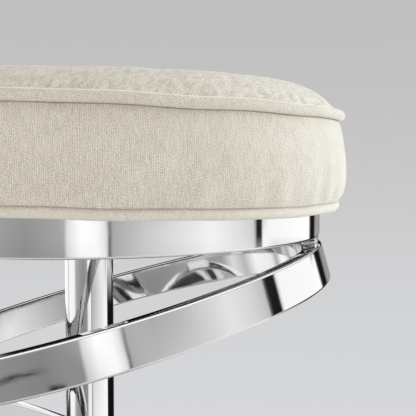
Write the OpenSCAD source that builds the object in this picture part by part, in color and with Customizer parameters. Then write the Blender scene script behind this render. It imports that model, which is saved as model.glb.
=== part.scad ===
// Round counter stool: an upholstered drum seat that swivels on a zigzag stack of bright steel hoops,
// with one straight post up the middle. The origin is on the floor under the post, +Z is up and the
// upper hoop is highest at +X.

/* [Hoops] */
// Outer radius that all five hoops are rolled to
ring_r = 190; // [160:1:225]
// Height of the rectangular tube that every hoop is rolled from
bar_h = 30; // [22:1:40]
// Thickness of that tube, measured out from the post
bar_t = 15; // [9:0.5:20]
// Wall of the tube
bar_wall = 2.5; // [1.5:0.1:3]
// Small radius on the tube's long edges
bar_edge_r = 1.4; // [0.8:0.1:3]
// Slope of the upper and the lower hoop, in degrees
side_tilt = 15.3; // [12:0.1:20]
// Slope of the middle hoop, in degrees
middle_tilt = 26.4; // [20:0.1:32]
// Direction of the middle hoop's high side, in degrees round the post
middle_turn = 196.3; // [165:0.1:215]
// How far a sloping hoop's corner stands out beyond the level hoop that it is joined to
corner_out = 1.4; // [0:0.1:2.5]
// Least distance between two hoops, at the saddle that joins them
joint_gap = 5.5; // [3:0.1:8]
// Length of a saddle along the hoop
saddle_len = 56; // [36:1:64]
// How far the saddles stay back from the hoops' edges
saddle_set_back = 0.8; // [0.5:0.1:2]

/* [Post] */
// Outside diameter of the post
post_d = 40; // [32:1:50]
// Wall of the post's tube
post_wall = 2.5; // [1.5:0.1:4]
// Diameter of the flanges at both ends of the post
flange_d = 104; // [90:1:120]
// Thickness of those flanges
flange_t = 6; // [4:0.5:10]
// Diameter of the circle that the flange bolts stand on
flange_bolt_circle = 78; // [68:1:84]
// Thread diameter of the flange bolts
flange_bolt_d = 8; // [6:1:10]
// Width across the corners of their hexagon heads
flange_head_d = 15; // [12:0.5:18]
// Height of those heads
flange_head_h = 5.3; // [4:0.1:7]
// Rise of the bell over the heads of the bolts that it hides
bell_rise = 4.7; // [4:0.1:10]
// Wall of the bell
bell_wall = 1.2; // [0.8:0.1:2]
// How far the bell's rim stands out beyond the lower flange
bell_out = 9; // [5:0.5:16]

/* [Plates] */
// Thickness of the steel disc inside the floor hoop
base_plate_t = 6; // [4:0.5:10]
// Height of that disc's underside above the hoop's lower edge
base_plate_up = 8; // [7:0.5:10]
// Thickness of the steel disc inside the seat hoop
support_plate_t = 5; // [4:0.5:8]
// Width of the lugs that carry both discs
lug_w = 30; // [20:1:40]
// How far the lugs reach in from the hoop
lug_reach = 22; // [16:1:28]
// Thickness of the lugs
lug_t = 5; // [4:0.5:6]
// Thread diameter of the lug screws
lug_screw_d = 6; // [4:0.5:8]
// Diameter of their round heads
lug_head_d = 11; // [9:0.5:13]
// Height of those heads
lug_head_h = 3; // [2:0.1:3.5]

/* [Floor glides] */
// Number of glides under the floor hoop
glide_count = 6; // [4:1:8]
// Diameter of a glide
glide_d = 11; // [8:0.5:12]
// Height that the glides lift the hoop off the floor
glide_h = 4; // [2:0.5:6]
// Diameter of the glide's stem
glide_stem_d = 5; // [4:0.5:6]
// Length of that stem
glide_stem_h = 7; // [5:0.5:9]

/* [Swivel] */
// Thickness of both swivel plates
swivel_plate_t = 2.5; // [2:0.1:3]
// Height of the whole swivel, from the support disc to the seat board
swivel_h = 16; // [16:0.5:18]
// Diameter of the circle that the balls run on
race_circle = 102; // [98:1:108]
// Width of the raised ball races
race_w = 12; // [10:0.5:14]
// Diameter of a ball
ball_d = 7; // [6:0.5:7.5]
// Number of balls
ball_count = 12; // [8:1:16]
// Height of the gap left between the two races
race_gap = 4; // [3.6:0.1:4.2]
// Diameter of the pivot pin
pivot_d = 18; // [14:1:20]
// Outside diameter of the bearing hub round the pin
hub_d = 30; // [26:1:32]
// Height of that hub above its plate
hub_h = 7; // [5:0.5:8]
// Width of the pivot nut across its corners
pivot_nut_d = 27; // [24:0.5:29]
// Height of the pivot nut
pivot_nut_h = 6; // [5:0.5:7]
// Distance of the screws through either plate outside its race
race_to_screws = 12; // [9:0.5:16]
// Distance from those screws to the plates' edge
screws_to_edge = 11; // [8:0.5:14]
// Thread diameter of the bolts through the lower plate
lower_bolt_d = 6; // [5:0.5:7]
// Diameter of their low round heads
lower_bolt_head_d = 12; // [10:0.5:13]
// Height of those heads
lower_bolt_head_h = 2.6; // [2:0.1:3]
// Width of their nuts across the corners
lower_nut_d = 11.5; // [10:0.5:13]
// Height of their nuts
lower_nut_h = 4.5; // [4:0.1:5]
// Shank diameter of the wood screws into the seat board
wood_screw_d = 4.8; // [4:0.1:6]
// Diameter of their heads
wood_head_d = 9.5; // [8:0.5:11]
// Height of those heads
wood_head_h = 2.4; // [2:0.1:3]
// Depth that they reach into the board
wood_screw_reach = 10; // [6:0.5:11]

/* [Seat] */
// Gap between the seat hoop's top edge and the seat board
seat_gap = 3; // [2.6:0.1:5]
// How far the plywood seat board stands out beyond the seat hoop
board_out = 11; // [5:0.5:13]
// Thickness of the seat board
board_t = 12; // [11:0.5:18]
// Thickness of the cover cloth with its backing
cover_t = 1.2; // [0.8:0.1:2]
// Height of the boxing between the board's underside and the top welt
boxing_h = 64; // [50:0.5:90]
// How far the boxing stands out at the bottom seam, beyond the board
bottom_seam_out = 2.4; // [2:0.1:4]
// How far the boxing swells between its seams
boxing_swell = 7.1; // [2:0.1:10]
// How far the boxing is turned in under the board
turn_under = 26; // [18:0.5:34]
// Distance of the staples from the turned-in edge
staple_in = 7.5; // [5:0.5:9]
// Height of the crown above the top welt
crown_h = 28.5; // [15:0.1:45]
// Part of that height that is a gentle dome over the whole top
crown_dome = 3; // [1:0.1:8]
// Diameter of both welts
welt_d = 9; // [6:0.1:11]
// How far the top welt's centre line lies outside the board's edge
top_welt_out = 4.4; // [1.5:0.1:7]
// How far the bottom welt's centre line lies outside the board's edge
bottom_welt_out = 0.2; // [0:0.1:3]
// Depth of the hidden seam allowance behind the top welt
seam_tuck = 6; // [5.5:0.1:8]
// Thickness of the dust cloth under the board
dust_t = 0.8; // [0.5:0.1:1]
// How far the dust cloth stays away from the swivel
dust_hole_clear = 4; // [3.2:0.2:20]
// Number of staples that hold the cover to the board
staple_count = 36; // [24:1:48]
// Length of a staple's crown
staple_len = 11; // [8:0.5:14]
// Thickness of a staple's wire
staple_t = 0.7; // [0.5:0.1:1]
// Length of a staple's legs in the board
staple_leg = 6; // [4:0.5:8]

/* [Fits] */
// Clearance between pieces that are assembled against each other
seat_fit = 0.2; // [0.1:0.05:0.3]
// Clearance round soft pieces
soft_fit = 0.3; // [0.2:0.05:0.4]
// Radial clearance of a bolt in its hole
bolt_fit = 0.1; // [0.05:0.05:0.2]
// Radial clearance of the swivel's running fit
run_fit = 0.05; // [0.02:0.01:0.1]
// Clearance of the balls in their races
ball_fit = 0.1; // [0.05:0.05:0.2]
// Lift that the pivot nut leaves the swivel
pivot_play = 0.4; // [0.2:0.1:0.6]

/* [Hidden] */
round_steps = 96;
small_steps = 32;
hex_sides = 6;
lug_count = 4;
bolt_count = 4;
side_steps = 12;
crown_steps = 18;
shoulder_power = 9;
bolt_angle_share = 0.125;
wood_angle_share = 0.0625;

// Distance from the post of a sloping hoop's corner, of its outer or its inner face
function corner_r(tilt, face_r) = face_r * cos(tilt) - bar_h / 2 * sin(tilt);

ring_inner_r = ring_r - bar_t;
side_rise = ring_r * sin(side_tilt) + bar_h / 2 * cos(side_tilt);
side_shift = ring_r + corner_out - corner_r(side_tilt, ring_r);
// The upper hoop's low side and the middle hoop's high side aren't quite in line. They come closest
// where both slopes, added as directions, point.
pair_along = tan(side_tilt) - tan(middle_tilt) * cos(middle_turn);
pair_across = -tan(middle_tilt) * sin(middle_turn);
meet_turn = 180 + atan2(pair_across, pair_along);
meet_r = corner_r(middle_tilt, ring_r);
half_bars = bar_h / 2 / cos(side_tilt) + bar_h / 2 / cos(middle_tilt);
pair_rise = norm([pair_along, pair_across]) * meet_r + tan(side_tilt) * side_shift + half_bars;

base_top_z = glide_h + bar_h;
lower_z = base_top_z + joint_gap + side_rise;
middle_z = lower_z + joint_gap + pair_rise;
upper_z = middle_z + joint_gap + pair_rise;
seat_ring_z = upper_z + joint_gap + side_rise;
seat_ring_top_z = seat_ring_z + bar_h;
// Height of the middle hoop's upper face where the upper hoop comes closest
meet_face_z = middle_z + bar_h / 2 / cos(middle_tilt)
    + tan(middle_tilt) * meet_r * cos(middle_turn - meet_turn);

board_z = seat_ring_top_z + seat_gap;
board_r = ring_r + board_out;
turn_under_r = board_r - turn_under;
staple_r = turn_under_r + staple_in;
top_welt_r = board_r + top_welt_out;
bottom_welt_r = board_r + bottom_welt_out;
support_top_z = board_z - swivel_h;
support_z = support_top_z - support_plate_t;
base_plate_z = glide_h + base_plate_up;
base_plate_top_z = base_plate_z + base_plate_t;
plate_r = ring_inner_r - seat_fit;
lug_screw_r = ring_inner_r - lug_reach / 2;
post_r = post_d / 2;
flange_bolt_r = flange_bolt_circle / 2;
race_r = race_circle / 2;
swivel_screw_r = race_r + race_w / 2 + race_to_screws;
swivel_r = swivel_screw_r + screws_to_edge;
dust_hole_r = swivel_r + dust_hole_clear;
ball_z = support_top_z + swivel_h / 2;
race_lower_top_z = ball_z - race_gap / 2;
race_upper_low_z = ball_z + race_gap / 2;
upper_plate_z = board_z - swivel_plate_t;
pivot_nut_top_z = support_top_z - pivot_play;
pivot_low_z = pivot_nut_top_z - pivot_nut_h - seat_fit;
support_hole_r = pivot_nut_d / 2 + 2 * seat_fit;

welt_r = welt_d / 2;
welt_clear = welt_r + soft_fit;
top_welt_z = board_z + boxing_h;
bottom_welt_z = board_z - cover_t - welt_clear;
seam_in_r = top_welt_r - welt_clear;
tuck_r = seam_in_r - seam_tuck;
// The boxing and the top panel meet the top welt at these directions round its centre, in degrees.
boxing_wrap = [240, 210, 180];
top_seam_r = top_welt_r + welt_clear * cos(boxing_wrap[0]);
boxing_low_r = board_r + bottom_seam_out;
boxing_low_z = board_z - cover_t / 2;
boxing_high_z = top_welt_z + welt_clear * sin(boxing_wrap[0]);
crown_r = top_welt_r - welt_clear * sin(45);
crown_edge_z = top_welt_z + welt_clear * cos(45);
crown_top_z = top_welt_z + crown_h;
crown_shoulder = crown_top_z - crown_edge_z - crown_dome;
foam_low_z = board_z + board_t + soft_fit;

// Swelling side of the boxing, from the bottom seam at share 0 to the top seam at share 1
function side_r(share) =
    boxing_low_r + (top_seam_r - boxing_low_r) * share + boxing_swell * sin(180 * share);
function side_z(share) = boxing_low_z + (boxing_high_z - boxing_low_z) * share;
function side_share(z) = (z - boxing_low_z) / (boxing_high_z - boxing_low_z);
// Crown, a gentle dome that rolls over near the welt
function crown_z(share) =
    crown_top_z - crown_dome * pow(share, 2) - crown_shoulder * pow(share, shoulder_power);
// Shares of the radius that crowd towards the rolled edge
function crown_share(i) = sin(90 * i / crown_steps);

// Section of the hoops' tube with its middle at z 0 and its size cut by inset
module bar_outline(inset, edge_r) {
    wide = bar_t - 2 * inset;
    tall = bar_h - 2 * inset;
    translate([ring_r - inset - wide, -tall / 2]) {
        translate([edge_r, 0]) square([wide - 2 * edge_r, tall]);
        translate([0, edge_r]) square([wide, tall - 2 * edge_r]);
        for (x = [edge_r, wide - edge_r])
            for (y = [edge_r, tall - edge_r])
                translate([x, y]) circle(r = edge_r, $fn = small_steps);
    }
}

// Space of a hoop and as much again on its inner side, with sharp edges
module hoop_space() {
    rotate_extrude($fn = round_steps)
        translate([ring_r - 2 * bar_t, -bar_h / 2])
            square([2 * bar_t, bar_h]);
}

module hoop() {
    rotate_extrude($fn = round_steps)
        difference() {
            bar_outline(0, bar_edge_r);
            bar_outline(bar_wall, bar_wall / 4);
        }
}

module at_seat_ring() {
    translate([0, 0, seat_ring_z + bar_h / 2]) children();
}

module at_upper() {
    translate([side_shift, 0, upper_z]) rotate([0, -side_tilt, 0]) children();
}

module at_middle() {
    translate([0, 0, middle_z]) rotate([0, -middle_tilt, middle_turn]) children();
}

module at_lower() {
    translate([-side_shift, 0, lower_z]) rotate([0, -side_tilt, 0]) children();
}

module at_base_ring() {
    translate([0, 0, glide_h + bar_h / 2]) children();
}

// The same piece above the stack's middle and, turned half round and upside down, below it
module above_and_below() {
    children();
    translate([0, 0, 2 * middle_z]) rotate([0, 0, 180]) mirror([0, 0, 1]) children();
}

module ring_of(count, radius, first_share = 0) {
    for (i = [0:count - 1])
        rotate([0, 0, 360 * (i / count + first_share)])
            translate([radius, 0, 0])
                children();
}

module round_bar(d, h) {
    cylinder(d = d, h = h, $fn = small_steps);
}

module hexagon(d, h) {
    cylinder(d = d, h = h, $fn = hex_sides);
}

// Curved bar that fills a joint, before the hoops are cut out of it
module saddle_stick(turn, z, inner_r, outer_r) {
    stick_h = 2 * joint_gap + bar_t;
    rotate([0, 0, turn])
        translate([0, 0, z - stick_h / 2])
            difference() {
                intersection() {
                    cylinder(r = outer_r - saddle_set_back, h = stick_h, $fn = round_steps);
                    translate([inner_r / 2, -saddle_len / 2, 0])
                        cube([outer_r, saddle_len, stick_h]);
                }
                cylinder(r = inner_r + saddle_set_back, h = stick_h, $fn = round_steps);
            }
}

module seat_ring() {
    color([0.80, 0.81, 0.82]) at_seat_ring() hoop();
}

module upper_hoop() {
    color([0.80, 0.81, 0.82]) at_upper() hoop();
}

module middle_hoop() {
    color([0.80, 0.81, 0.82]) at_middle() hoop();
}

module lower_hoop() {
    color([0.80, 0.81, 0.82]) at_lower() hoop();
}

module base_ring() {
    color([0.80, 0.81, 0.82])
        difference() {
            at_base_ring() hoop();
            ring_of(glide_count, ring_r - bar_t / 2)
                round_bar(glide_stem_d + 2 * bolt_fit, glide_h + glide_stem_h);
        }
}

module hoop_saddles() {
    high_inner_r = ring_r + corner_out - bar_t * cos(side_tilt);
    low_inner_r = corner_r(side_tilt, ring_inner_r) - side_shift;
    color([0.80, 0.81, 0.82])
        above_and_below() {
            difference() {
                saddle_stick(0, seat_ring_z - joint_gap / 2, high_inner_r, ring_r);
                at_seat_ring() hoop_space();
                at_upper() hoop_space();
            }
            difference() {
                saddle_stick(meet_turn, meet_face_z + joint_gap / 2, low_inner_r, meet_r);
                at_upper() hoop_space();
                at_middle() hoop_space();
            }
        }
}

module centre_post() {
    color([0.82, 0.83, 0.84])
        difference() {
            translate([0, 0, base_plate_top_z])
                cylinder(d = post_d, h = support_z - base_plate_top_z, $fn = round_steps);
            cylinder(d = post_d - 2 * post_wall, h = board_z, $fn = round_steps);
        }
}

// Flange that slips over the post's end and is welded to it, with its bolt holes
module flange(z) {
    translate([0, 0, z])
        difference() {
            cylinder(d = flange_d, h = flange_t, $fn = round_steps);
            cylinder(d = post_d, h = flange_t, $fn = round_steps);
            ring_of(bolt_count, flange_bolt_r, bolt_angle_share)
                round_bar(flange_bolt_d + 2 * bolt_fit, flange_t);
        }
}

module post_top_flange() {
    color([0.45, 0.46, 0.47]) flange(support_z - flange_t);
}

module post_foot_flange() {
    color([0.45, 0.46, 0.47]) flange(base_plate_top_z);
}

module flange_bolts() {
    color([0.66, 0.66, 0.64]) {
        ring_of(bolt_count, flange_bolt_r, bolt_angle_share)
            translate([0, 0, support_z - flange_t - flange_head_h]) {
                hexagon(flange_head_d, flange_head_h);
                round_bar(flange_bolt_d, flange_head_h + flange_t + support_plate_t);
            }
        ring_of(bolt_count, flange_bolt_r, bolt_angle_share)
            translate([0, 0, base_plate_z]) {
                round_bar(flange_bolt_d, base_plate_t + flange_t);
                translate([0, 0, base_plate_t + flange_t])
                    hexagon(flange_head_d, flange_head_h);
            }
    }
}

// Spun bell that covers the lower flange and its bolts
module foot_bell() {
    rim_r = flange_d / 2 + bell_out;
    neck_r = post_r + seat_fit;
    shoulder_r = rim_r - bell_wall - soft_fit;
    side_h = flange_t + flange_head_h;
    bell_h = side_h + bell_rise;
    color([0.82, 0.83, 0.84])
        translate([0, 0, base_plate_top_z])
            rotate_extrude($fn = round_steps)
                polygon([
                    [rim_r, 0],
                    [rim_r, side_h],
                    [neck_r + bell_wall, bell_h],
                    [neck_r, bell_h],
                    [neck_r, bell_h - bell_wall],
                    [shoulder_r, side_h - bell_wall / 2],
                    [rim_r - bell_wall, side_h - bell_wall],
                    [rim_r - bell_wall, 0]
                ]);
}

module support_plate() {
    color([0.30, 0.31, 0.32])
        translate([0, 0, support_z])
            difference() {
                cylinder(r = plate_r, h = support_plate_t, $fn = round_steps);
                cylinder(r = support_hole_r, h = support_plate_t, $fn = round_steps);
                ring_of(bolt_count, flange_bolt_r, bolt_angle_share)
                    round_bar(flange_bolt_d + 2 * bolt_fit, support_plate_t);
                ring_of(bolt_count, swivel_screw_r)
                    round_bar(lower_bolt_d + 2 * bolt_fit, support_plate_t);
                ring_of(lug_count, lug_screw_r, bolt_angle_share)
                    round_bar(lug_screw_d + 2 * bolt_fit, support_plate_t);
            }
}

// Lug that stands in from a hoop's inner face, under a plate whose underside is at z
module lug(z) {
    translate([0, 0, z - lug_t])
        difference() {
            intersection() {
                translate([-lug_reach / 2, -lug_w / 2, 0]) cube([2 * lug_reach, lug_w, lug_t]);
                translate([-lug_screw_r, 0, 0])
                    cylinder(r = ring_inner_r, h = lug_t, $fn = round_steps);
            }
            round_bar(lug_screw_d + 2 * bolt_fit, lug_t);
        }
}

module support_lugs() {
    color([0.45, 0.46, 0.47])
        ring_of(lug_count, lug_screw_r, bolt_angle_share)
            lug(support_z);
}

module base_plate() {
    color([0.30, 0.31, 0.32])
        translate([0, 0, base_plate_z])
            difference() {
                cylinder(r = plate_r, h = base_plate_t, $fn = round_steps);
                ring_of(bolt_count, flange_bolt_r, bolt_angle_share)
                    round_bar(flange_bolt_d + 2 * bolt_fit, base_plate_t);
                ring_of(lug_count, lug_screw_r, bolt_angle_share)
                    round_bar(lug_screw_d + 2 * bolt_fit, base_plate_t);
            }
}

module base_lugs() {
    color([0.45, 0.46, 0.47])
        ring_of(lug_count, lug_screw_r, bolt_angle_share)
            lug(base_plate_z);
}

module lug_screws() {
    color([0.66, 0.66, 0.64]) {
        ring_of(lug_count, lug_screw_r, bolt_angle_share)
            translate([0, 0, support_z - lug_t]) {
                round_bar(lug_screw_d, lug_t + support_plate_t);
                translate([0, 0, -lug_head_h]) round_bar(lug_head_d, lug_head_h);
            }
        ring_of(lug_count, lug_screw_r, bolt_angle_share)
            translate([0, 0, base_plate_z - lug_t]) {
                round_bar(lug_screw_d, lug_t + base_plate_t);
                translate([0, 0, lug_t + base_plate_t]) round_bar(lug_head_d, lug_head_h);
            }
    }
}

module floor_glides() {
    color([0.12, 0.12, 0.13])
        ring_of(glide_count, ring_r - bar_t / 2) {
            round_bar(glide_d, glide_h);
            round_bar(glide_stem_d, glide_h + glide_stem_h);
        }
}

// Groove that a ball runs in, all the way round
module ball_groove() {
    translate([0, 0, ball_z])
        rotate_extrude($fn = round_steps)
            translate([race_r, 0])
                circle(r = ball_d / 2 + ball_fit, $fn = small_steps);
}

// Raised ring that carries one side of the balls
module race_ring(z, h) {
    translate([0, 0, z])
        difference() {
            cylinder(r = race_r + race_w / 2, h = h, $fn = round_steps);
            cylinder(r = race_r - race_w / 2, h = h, $fn = round_steps);
        }
}

module swivel_lower_plate() {
    color([0.52, 0.52, 0.50])
        difference() {
            union() {
                translate([0, 0, support_top_z]) {
                    cylinder(r = swivel_r, h = swivel_plate_t, $fn = round_steps);
                    cylinder(d = hub_d, h = swivel_plate_t + hub_h, $fn = round_steps);
                }
                race_ring(support_top_z, race_lower_top_z - support_top_z);
            }
            translate([0, 0, support_top_z])
                cylinder(d = pivot_d + 2 * run_fit, h = swivel_plate_t + hub_h, $fn = round_steps);
            ball_groove();
            translate([0, 0, support_top_z])
                ring_of(bolt_count, swivel_screw_r)
                    round_bar(lower_bolt_d + 2 * bolt_fit, swivel_plate_t);
        }
}

module swivel_balls() {
    color([0.85, 0.85, 0.86])
        translate([0, 0, ball_z])
            ring_of(ball_count, race_r)
                sphere(d = ball_d, $fn = small_steps);
}

module lower_plate_bolts() {
    color([0.66, 0.66, 0.64])
        ring_of(bolt_count, swivel_screw_r)
            translate([0, 0, support_z - lower_nut_h]) {
                round_bar(lower_bolt_d, lower_nut_h + support_plate_t + swivel_plate_t);
                translate([0, 0, lower_nut_h + support_plate_t + swivel_plate_t])
                    round_bar(lower_bolt_head_d, lower_bolt_head_h);
            }
}

module lower_plate_nuts() {
    color([0.60, 0.60, 0.58])
        ring_of(bolt_count, swivel_screw_r)
            translate([0, 0, support_z - lower_nut_h])
                difference() {
                    hexagon(lower_nut_d, lower_nut_h);
                    round_bar(lower_bolt_d, lower_nut_h);
                }
}

module swivel_upper_plate() {
    color([0.52, 0.52, 0.50])
        difference() {
            union() {
                translate([0, 0, upper_plate_z])
                    cylinder(r = swivel_r, h = swivel_plate_t, $fn = round_steps);
                race_ring(race_upper_low_z, board_z - race_upper_low_z);
            }
            translate([0, 0, upper_plate_z])
                cylinder(d = pivot_d, h = swivel_plate_t, $fn = round_steps);
            ball_groove();
            translate([0, 0, upper_plate_z])
                ring_of(bolt_count, swivel_screw_r, wood_angle_share)
                    round_bar(wood_screw_d + 2 * bolt_fit, swivel_plate_t);
        }
}

module pivot_pin() {
    color([0.72, 0.72, 0.70])
        translate([0, 0, pivot_low_z])
            cylinder(d = pivot_d, h = board_z - pivot_low_z, $fn = round_steps);
}

module pivot_nut() {
    color([0.60, 0.60, 0.58])
        translate([0, 0, pivot_nut_top_z - pivot_nut_h])
            difference() {
                hexagon(pivot_nut_d, pivot_nut_h);
                cylinder(d = pivot_d, h = pivot_nut_h, $fn = round_steps);
            }
}

module seat_board_screws() {
    color([0.66, 0.66, 0.64])
        ring_of(bolt_count, swivel_screw_r, wood_angle_share)
            translate([0, 0, upper_plate_z]) {
                translate([0, 0, -wood_head_h]) round_bar(wood_head_d, wood_head_h);
                round_bar(wood_screw_d, swivel_plate_t + wood_screw_reach);
            }
}

// Legs of all the staples, from z 0 up
module staple_legs(h) {
    ring_of(staple_count, staple_r)
        for (y = [-staple_len / 2, staple_len / 2 - staple_t])
            translate([-staple_t / 2, y, 0])
                cube([staple_t, staple_t, h]);
}

module seat_board() {
    color([0.78, 0.64, 0.45])
        translate([0, 0, board_z])
            difference() {
                cylinder(r = board_r, h = board_t, $fn = round_steps);
                ring_of(bolt_count, swivel_screw_r, wood_angle_share)
                    round_bar(wood_screw_d, wood_screw_reach);
                staple_legs(staple_leg);
            }
}

module seat_foam() {
    inset = cover_t + soft_fit;
    low_share = side_share(foam_low_z);
    foam_tuck_r = tuck_r - soft_fit;
    side = [
        for (i = [ceil(low_share * side_steps):side_steps - 1])
            [side_r(i / side_steps) - inset, side_z(i / side_steps)]
    ];
    crown = [
        for (i = [crown_steps - 1:-1:1])
            [foam_tuck_r * crown_share(i), crown_z(crown_share(i)) - inset]
    ];
    color([0.93, 0.88, 0.66])
        rotate_extrude($fn = round_steps)
            polygon(concat(
                [[0, foam_low_z], [side_r(low_share) - inset, foam_low_z]],
                side,
                [[foam_tuck_r, top_welt_z - inset], [foam_tuck_r, top_welt_z + inset]],
                crown,
                [[0, crown_top_z - inset]]
            ));
}

module boxing_band() {
    outer = [
        for (i = [0:side_steps - 1])
            [side_r(i / side_steps), side_z(i / side_steps)]
    ];
    wrap = [
        for (angle = boxing_wrap)
            [top_welt_r + welt_clear * cos(angle), top_welt_z + welt_clear * sin(angle)]
    ];
    inner = [
        for (i = [side_steps - 1:-1:1])
            [side_r(i / side_steps) - cover_t, side_z(i / side_steps)]
    ];
    board_edge_r = board_r + soft_fit;
    color([0.84, 0.80, 0.74])
        difference() {
            rotate_extrude($fn = round_steps)
                polygon(concat(
                    [
                        [turn_under_r, board_z - cover_t],
                        [boxing_low_r - cover_t / 2, board_z - cover_t]
                    ],
                    outer,
                    wrap,
                    [[tuck_r, top_welt_z], [tuck_r, top_welt_z - cover_t]],
                    inner,
                    [[board_edge_r, board_z], [turn_under_r, board_z]]
                ));
            translate([0, 0, board_z - cover_t]) staple_legs(cover_t);
        }
}

module top_panel() {
    outer = [
        for (i = [1:crown_steps])
            [crown_r * crown_share(i), crown_z(crown_share(i))]
    ];
    inner = [
        for (i = [crown_steps - 1:-1:1])
            [(tuck_r + cover_t) * crown_share(i), crown_z(crown_share(i)) - cover_t]
    ];
    color([0.84, 0.80, 0.74])
        rotate_extrude($fn = round_steps)
            polygon(concat(
                [[0, crown_top_z - cover_t], [0, crown_top_z]],
                outer,
                [
                    [seam_in_r, top_welt_z + cover_t],
                    [seam_in_r, top_welt_z],
                    [tuck_r, top_welt_z],
                    [tuck_r, top_welt_z + cover_t]
                ],
                inner
            ));
}

module welt(centre_r, z) {
    color([0.82, 0.77, 0.70])
        translate([0, 0, z])
            rotate_extrude($fn = round_steps)
                translate([centre_r, 0])
                    circle(r = welt_r, $fn = small_steps);
}

module top_welt() {
    welt(top_welt_r, top_welt_z);
}

module bottom_welt() {
    welt(bottom_welt_r, bottom_welt_z);
}

module dust_cover() {
    color([0.10, 0.10, 0.10])
        translate([0, 0, board_z - dust_t])
            difference() {
                cylinder(r = turn_under_r - soft_fit, h = dust_t, $fn = round_steps);
                cylinder(r = dust_hole_r, h = dust_t, $fn = round_steps);
            }
}

module cover_staples() {
    color([0.70, 0.70, 0.70])
        translate([0, 0, board_z - cover_t - staple_t]) {
            ring_of(staple_count, staple_r)
                translate([-staple_t / 2, -staple_len / 2, 0])
                    cube([staple_t, staple_len, staple_t]);
            staple_legs(staple_t + cover_t + staple_leg);
        }
}

seat_ring();
upper_hoop();
middle_hoop();
lower_hoop();
base_ring();
hoop_saddles();
centre_post();
post_top_flange();
post_foot_flange();
flange_bolts();
foot_bell();
support_plate();
support_lugs();
base_plate();
base_lugs();
lug_screws();
floor_glides();
swivel_lower_plate();
swivel_balls();
lower_plate_bolts();
lower_plate_nuts();
swivel_upper_plate();
pivot_pin();
pivot_nut();
seat_board_screws();
seat_board();
seat_foam();
boxing_band();
top_panel();
top_welt();
bottom_welt();
dust_cover();
cover_staples();
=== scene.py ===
"""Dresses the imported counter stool: bright hoops, upholstered drum seat, swivel fittings and a pale studio.

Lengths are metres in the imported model's own frame: the floor is z 0, the post stands on the z axis and the upper
hoop rises towards +X.
"""

import math

import bmesh
import bpy
import numpy as np
from bpy.props import FloatProperty, FloatVectorProperty, IntProperty, PointerProperty
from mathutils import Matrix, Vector
from mathutils.bvhtree import BVHTree


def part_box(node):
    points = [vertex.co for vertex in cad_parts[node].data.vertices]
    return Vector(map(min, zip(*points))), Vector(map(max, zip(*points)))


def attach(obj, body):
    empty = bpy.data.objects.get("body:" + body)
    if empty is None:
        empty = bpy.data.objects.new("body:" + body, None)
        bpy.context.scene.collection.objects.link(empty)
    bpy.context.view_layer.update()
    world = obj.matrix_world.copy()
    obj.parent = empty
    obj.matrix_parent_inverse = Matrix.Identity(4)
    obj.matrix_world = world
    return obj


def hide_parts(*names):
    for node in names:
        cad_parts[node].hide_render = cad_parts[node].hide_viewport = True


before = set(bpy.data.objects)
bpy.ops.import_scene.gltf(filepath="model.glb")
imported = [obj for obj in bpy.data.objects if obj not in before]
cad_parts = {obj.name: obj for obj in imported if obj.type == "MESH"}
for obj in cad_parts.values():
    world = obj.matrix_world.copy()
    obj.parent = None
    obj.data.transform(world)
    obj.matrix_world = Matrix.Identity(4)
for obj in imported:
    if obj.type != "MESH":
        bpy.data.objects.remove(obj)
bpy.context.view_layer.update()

bl_info = {
    "name": "Counter Stool Dresser",
    "version": (1, 0, 0),
    "blender": (4, 5, 0),
    "location": "View3D > Sidebar > Stool",
    "description": "Builds the cushion, hoops, finishes and studio of a swivelling counter stool",
    "category": "Object",
}

MM = 0.001
FULL_TURN = 2 * math.pi


def linear(hex_colour):
    """The linear red, green, blue and alpha of an sRGB hex value such as #C8C0B4."""
    shares = [int(hex_colour[i : i + 2], 16) / 255 for i in (1, 3, 5)]
    return tuple(s / 12.92 if s <= 0.04045 else ((s + 0.055) / 1.055) ** 2.4 for s in shares) + (1.0,)


def lowest(node):
    """Height of a CAD node's lowest point."""
    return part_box(node)[0].z


def middle(node):
    """Middle of a CAD node's box."""
    low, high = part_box(node)
    return (low + high) / 2


# Sizes and colours that a user would change


def length(label, about, metres):
    """A length for the panel."""
    return FloatProperty(name=label, description=about, default=metres, unit="LENGTH")


def angle(label, about, radians):
    """An angle for the panel."""
    return FloatProperty(name=label, description=about, default=radians, subtype="ANGLE")


def tint(label, about, hex_colour):
    """A colour for the panel."""
    return FloatVectorProperty(name=label, description=about, default=linear(hex_colour)[:3], subtype="COLOR")


class HoopSizes(bpy.types.PropertyGroup):
    outer_radius: length("Outer radius", "Outer radius that every hoop is rolled to", 0.190)
    tube_width: length("Tube width", "Width of the tube, out from the post", 0.015)
    tube_height: length("Tube height", "Height of the tube's broad face", 0.030)
    edge_radius: length("Edge radius", "Rounding of the tube's four long edges", 0.002)
    side_slope: angle("Side slope", "Slope of the upper and the lower hoop", math.radians(15.3))
    middle_slope: angle("Middle slope", "Slope of the middle hoop", math.radians(26.4))
    middle_turn: angle(
        "Middle turn", "Direction of the middle hoop's high side round the post", math.radians(196.3)
    )
    saddle_length: length("Saddle length", "Length of a saddle along the hoops", 0.056)
    weld_reach: length("Weld reach", "How far a polished weld runs out from a saddle's end", 0.004)


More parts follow.
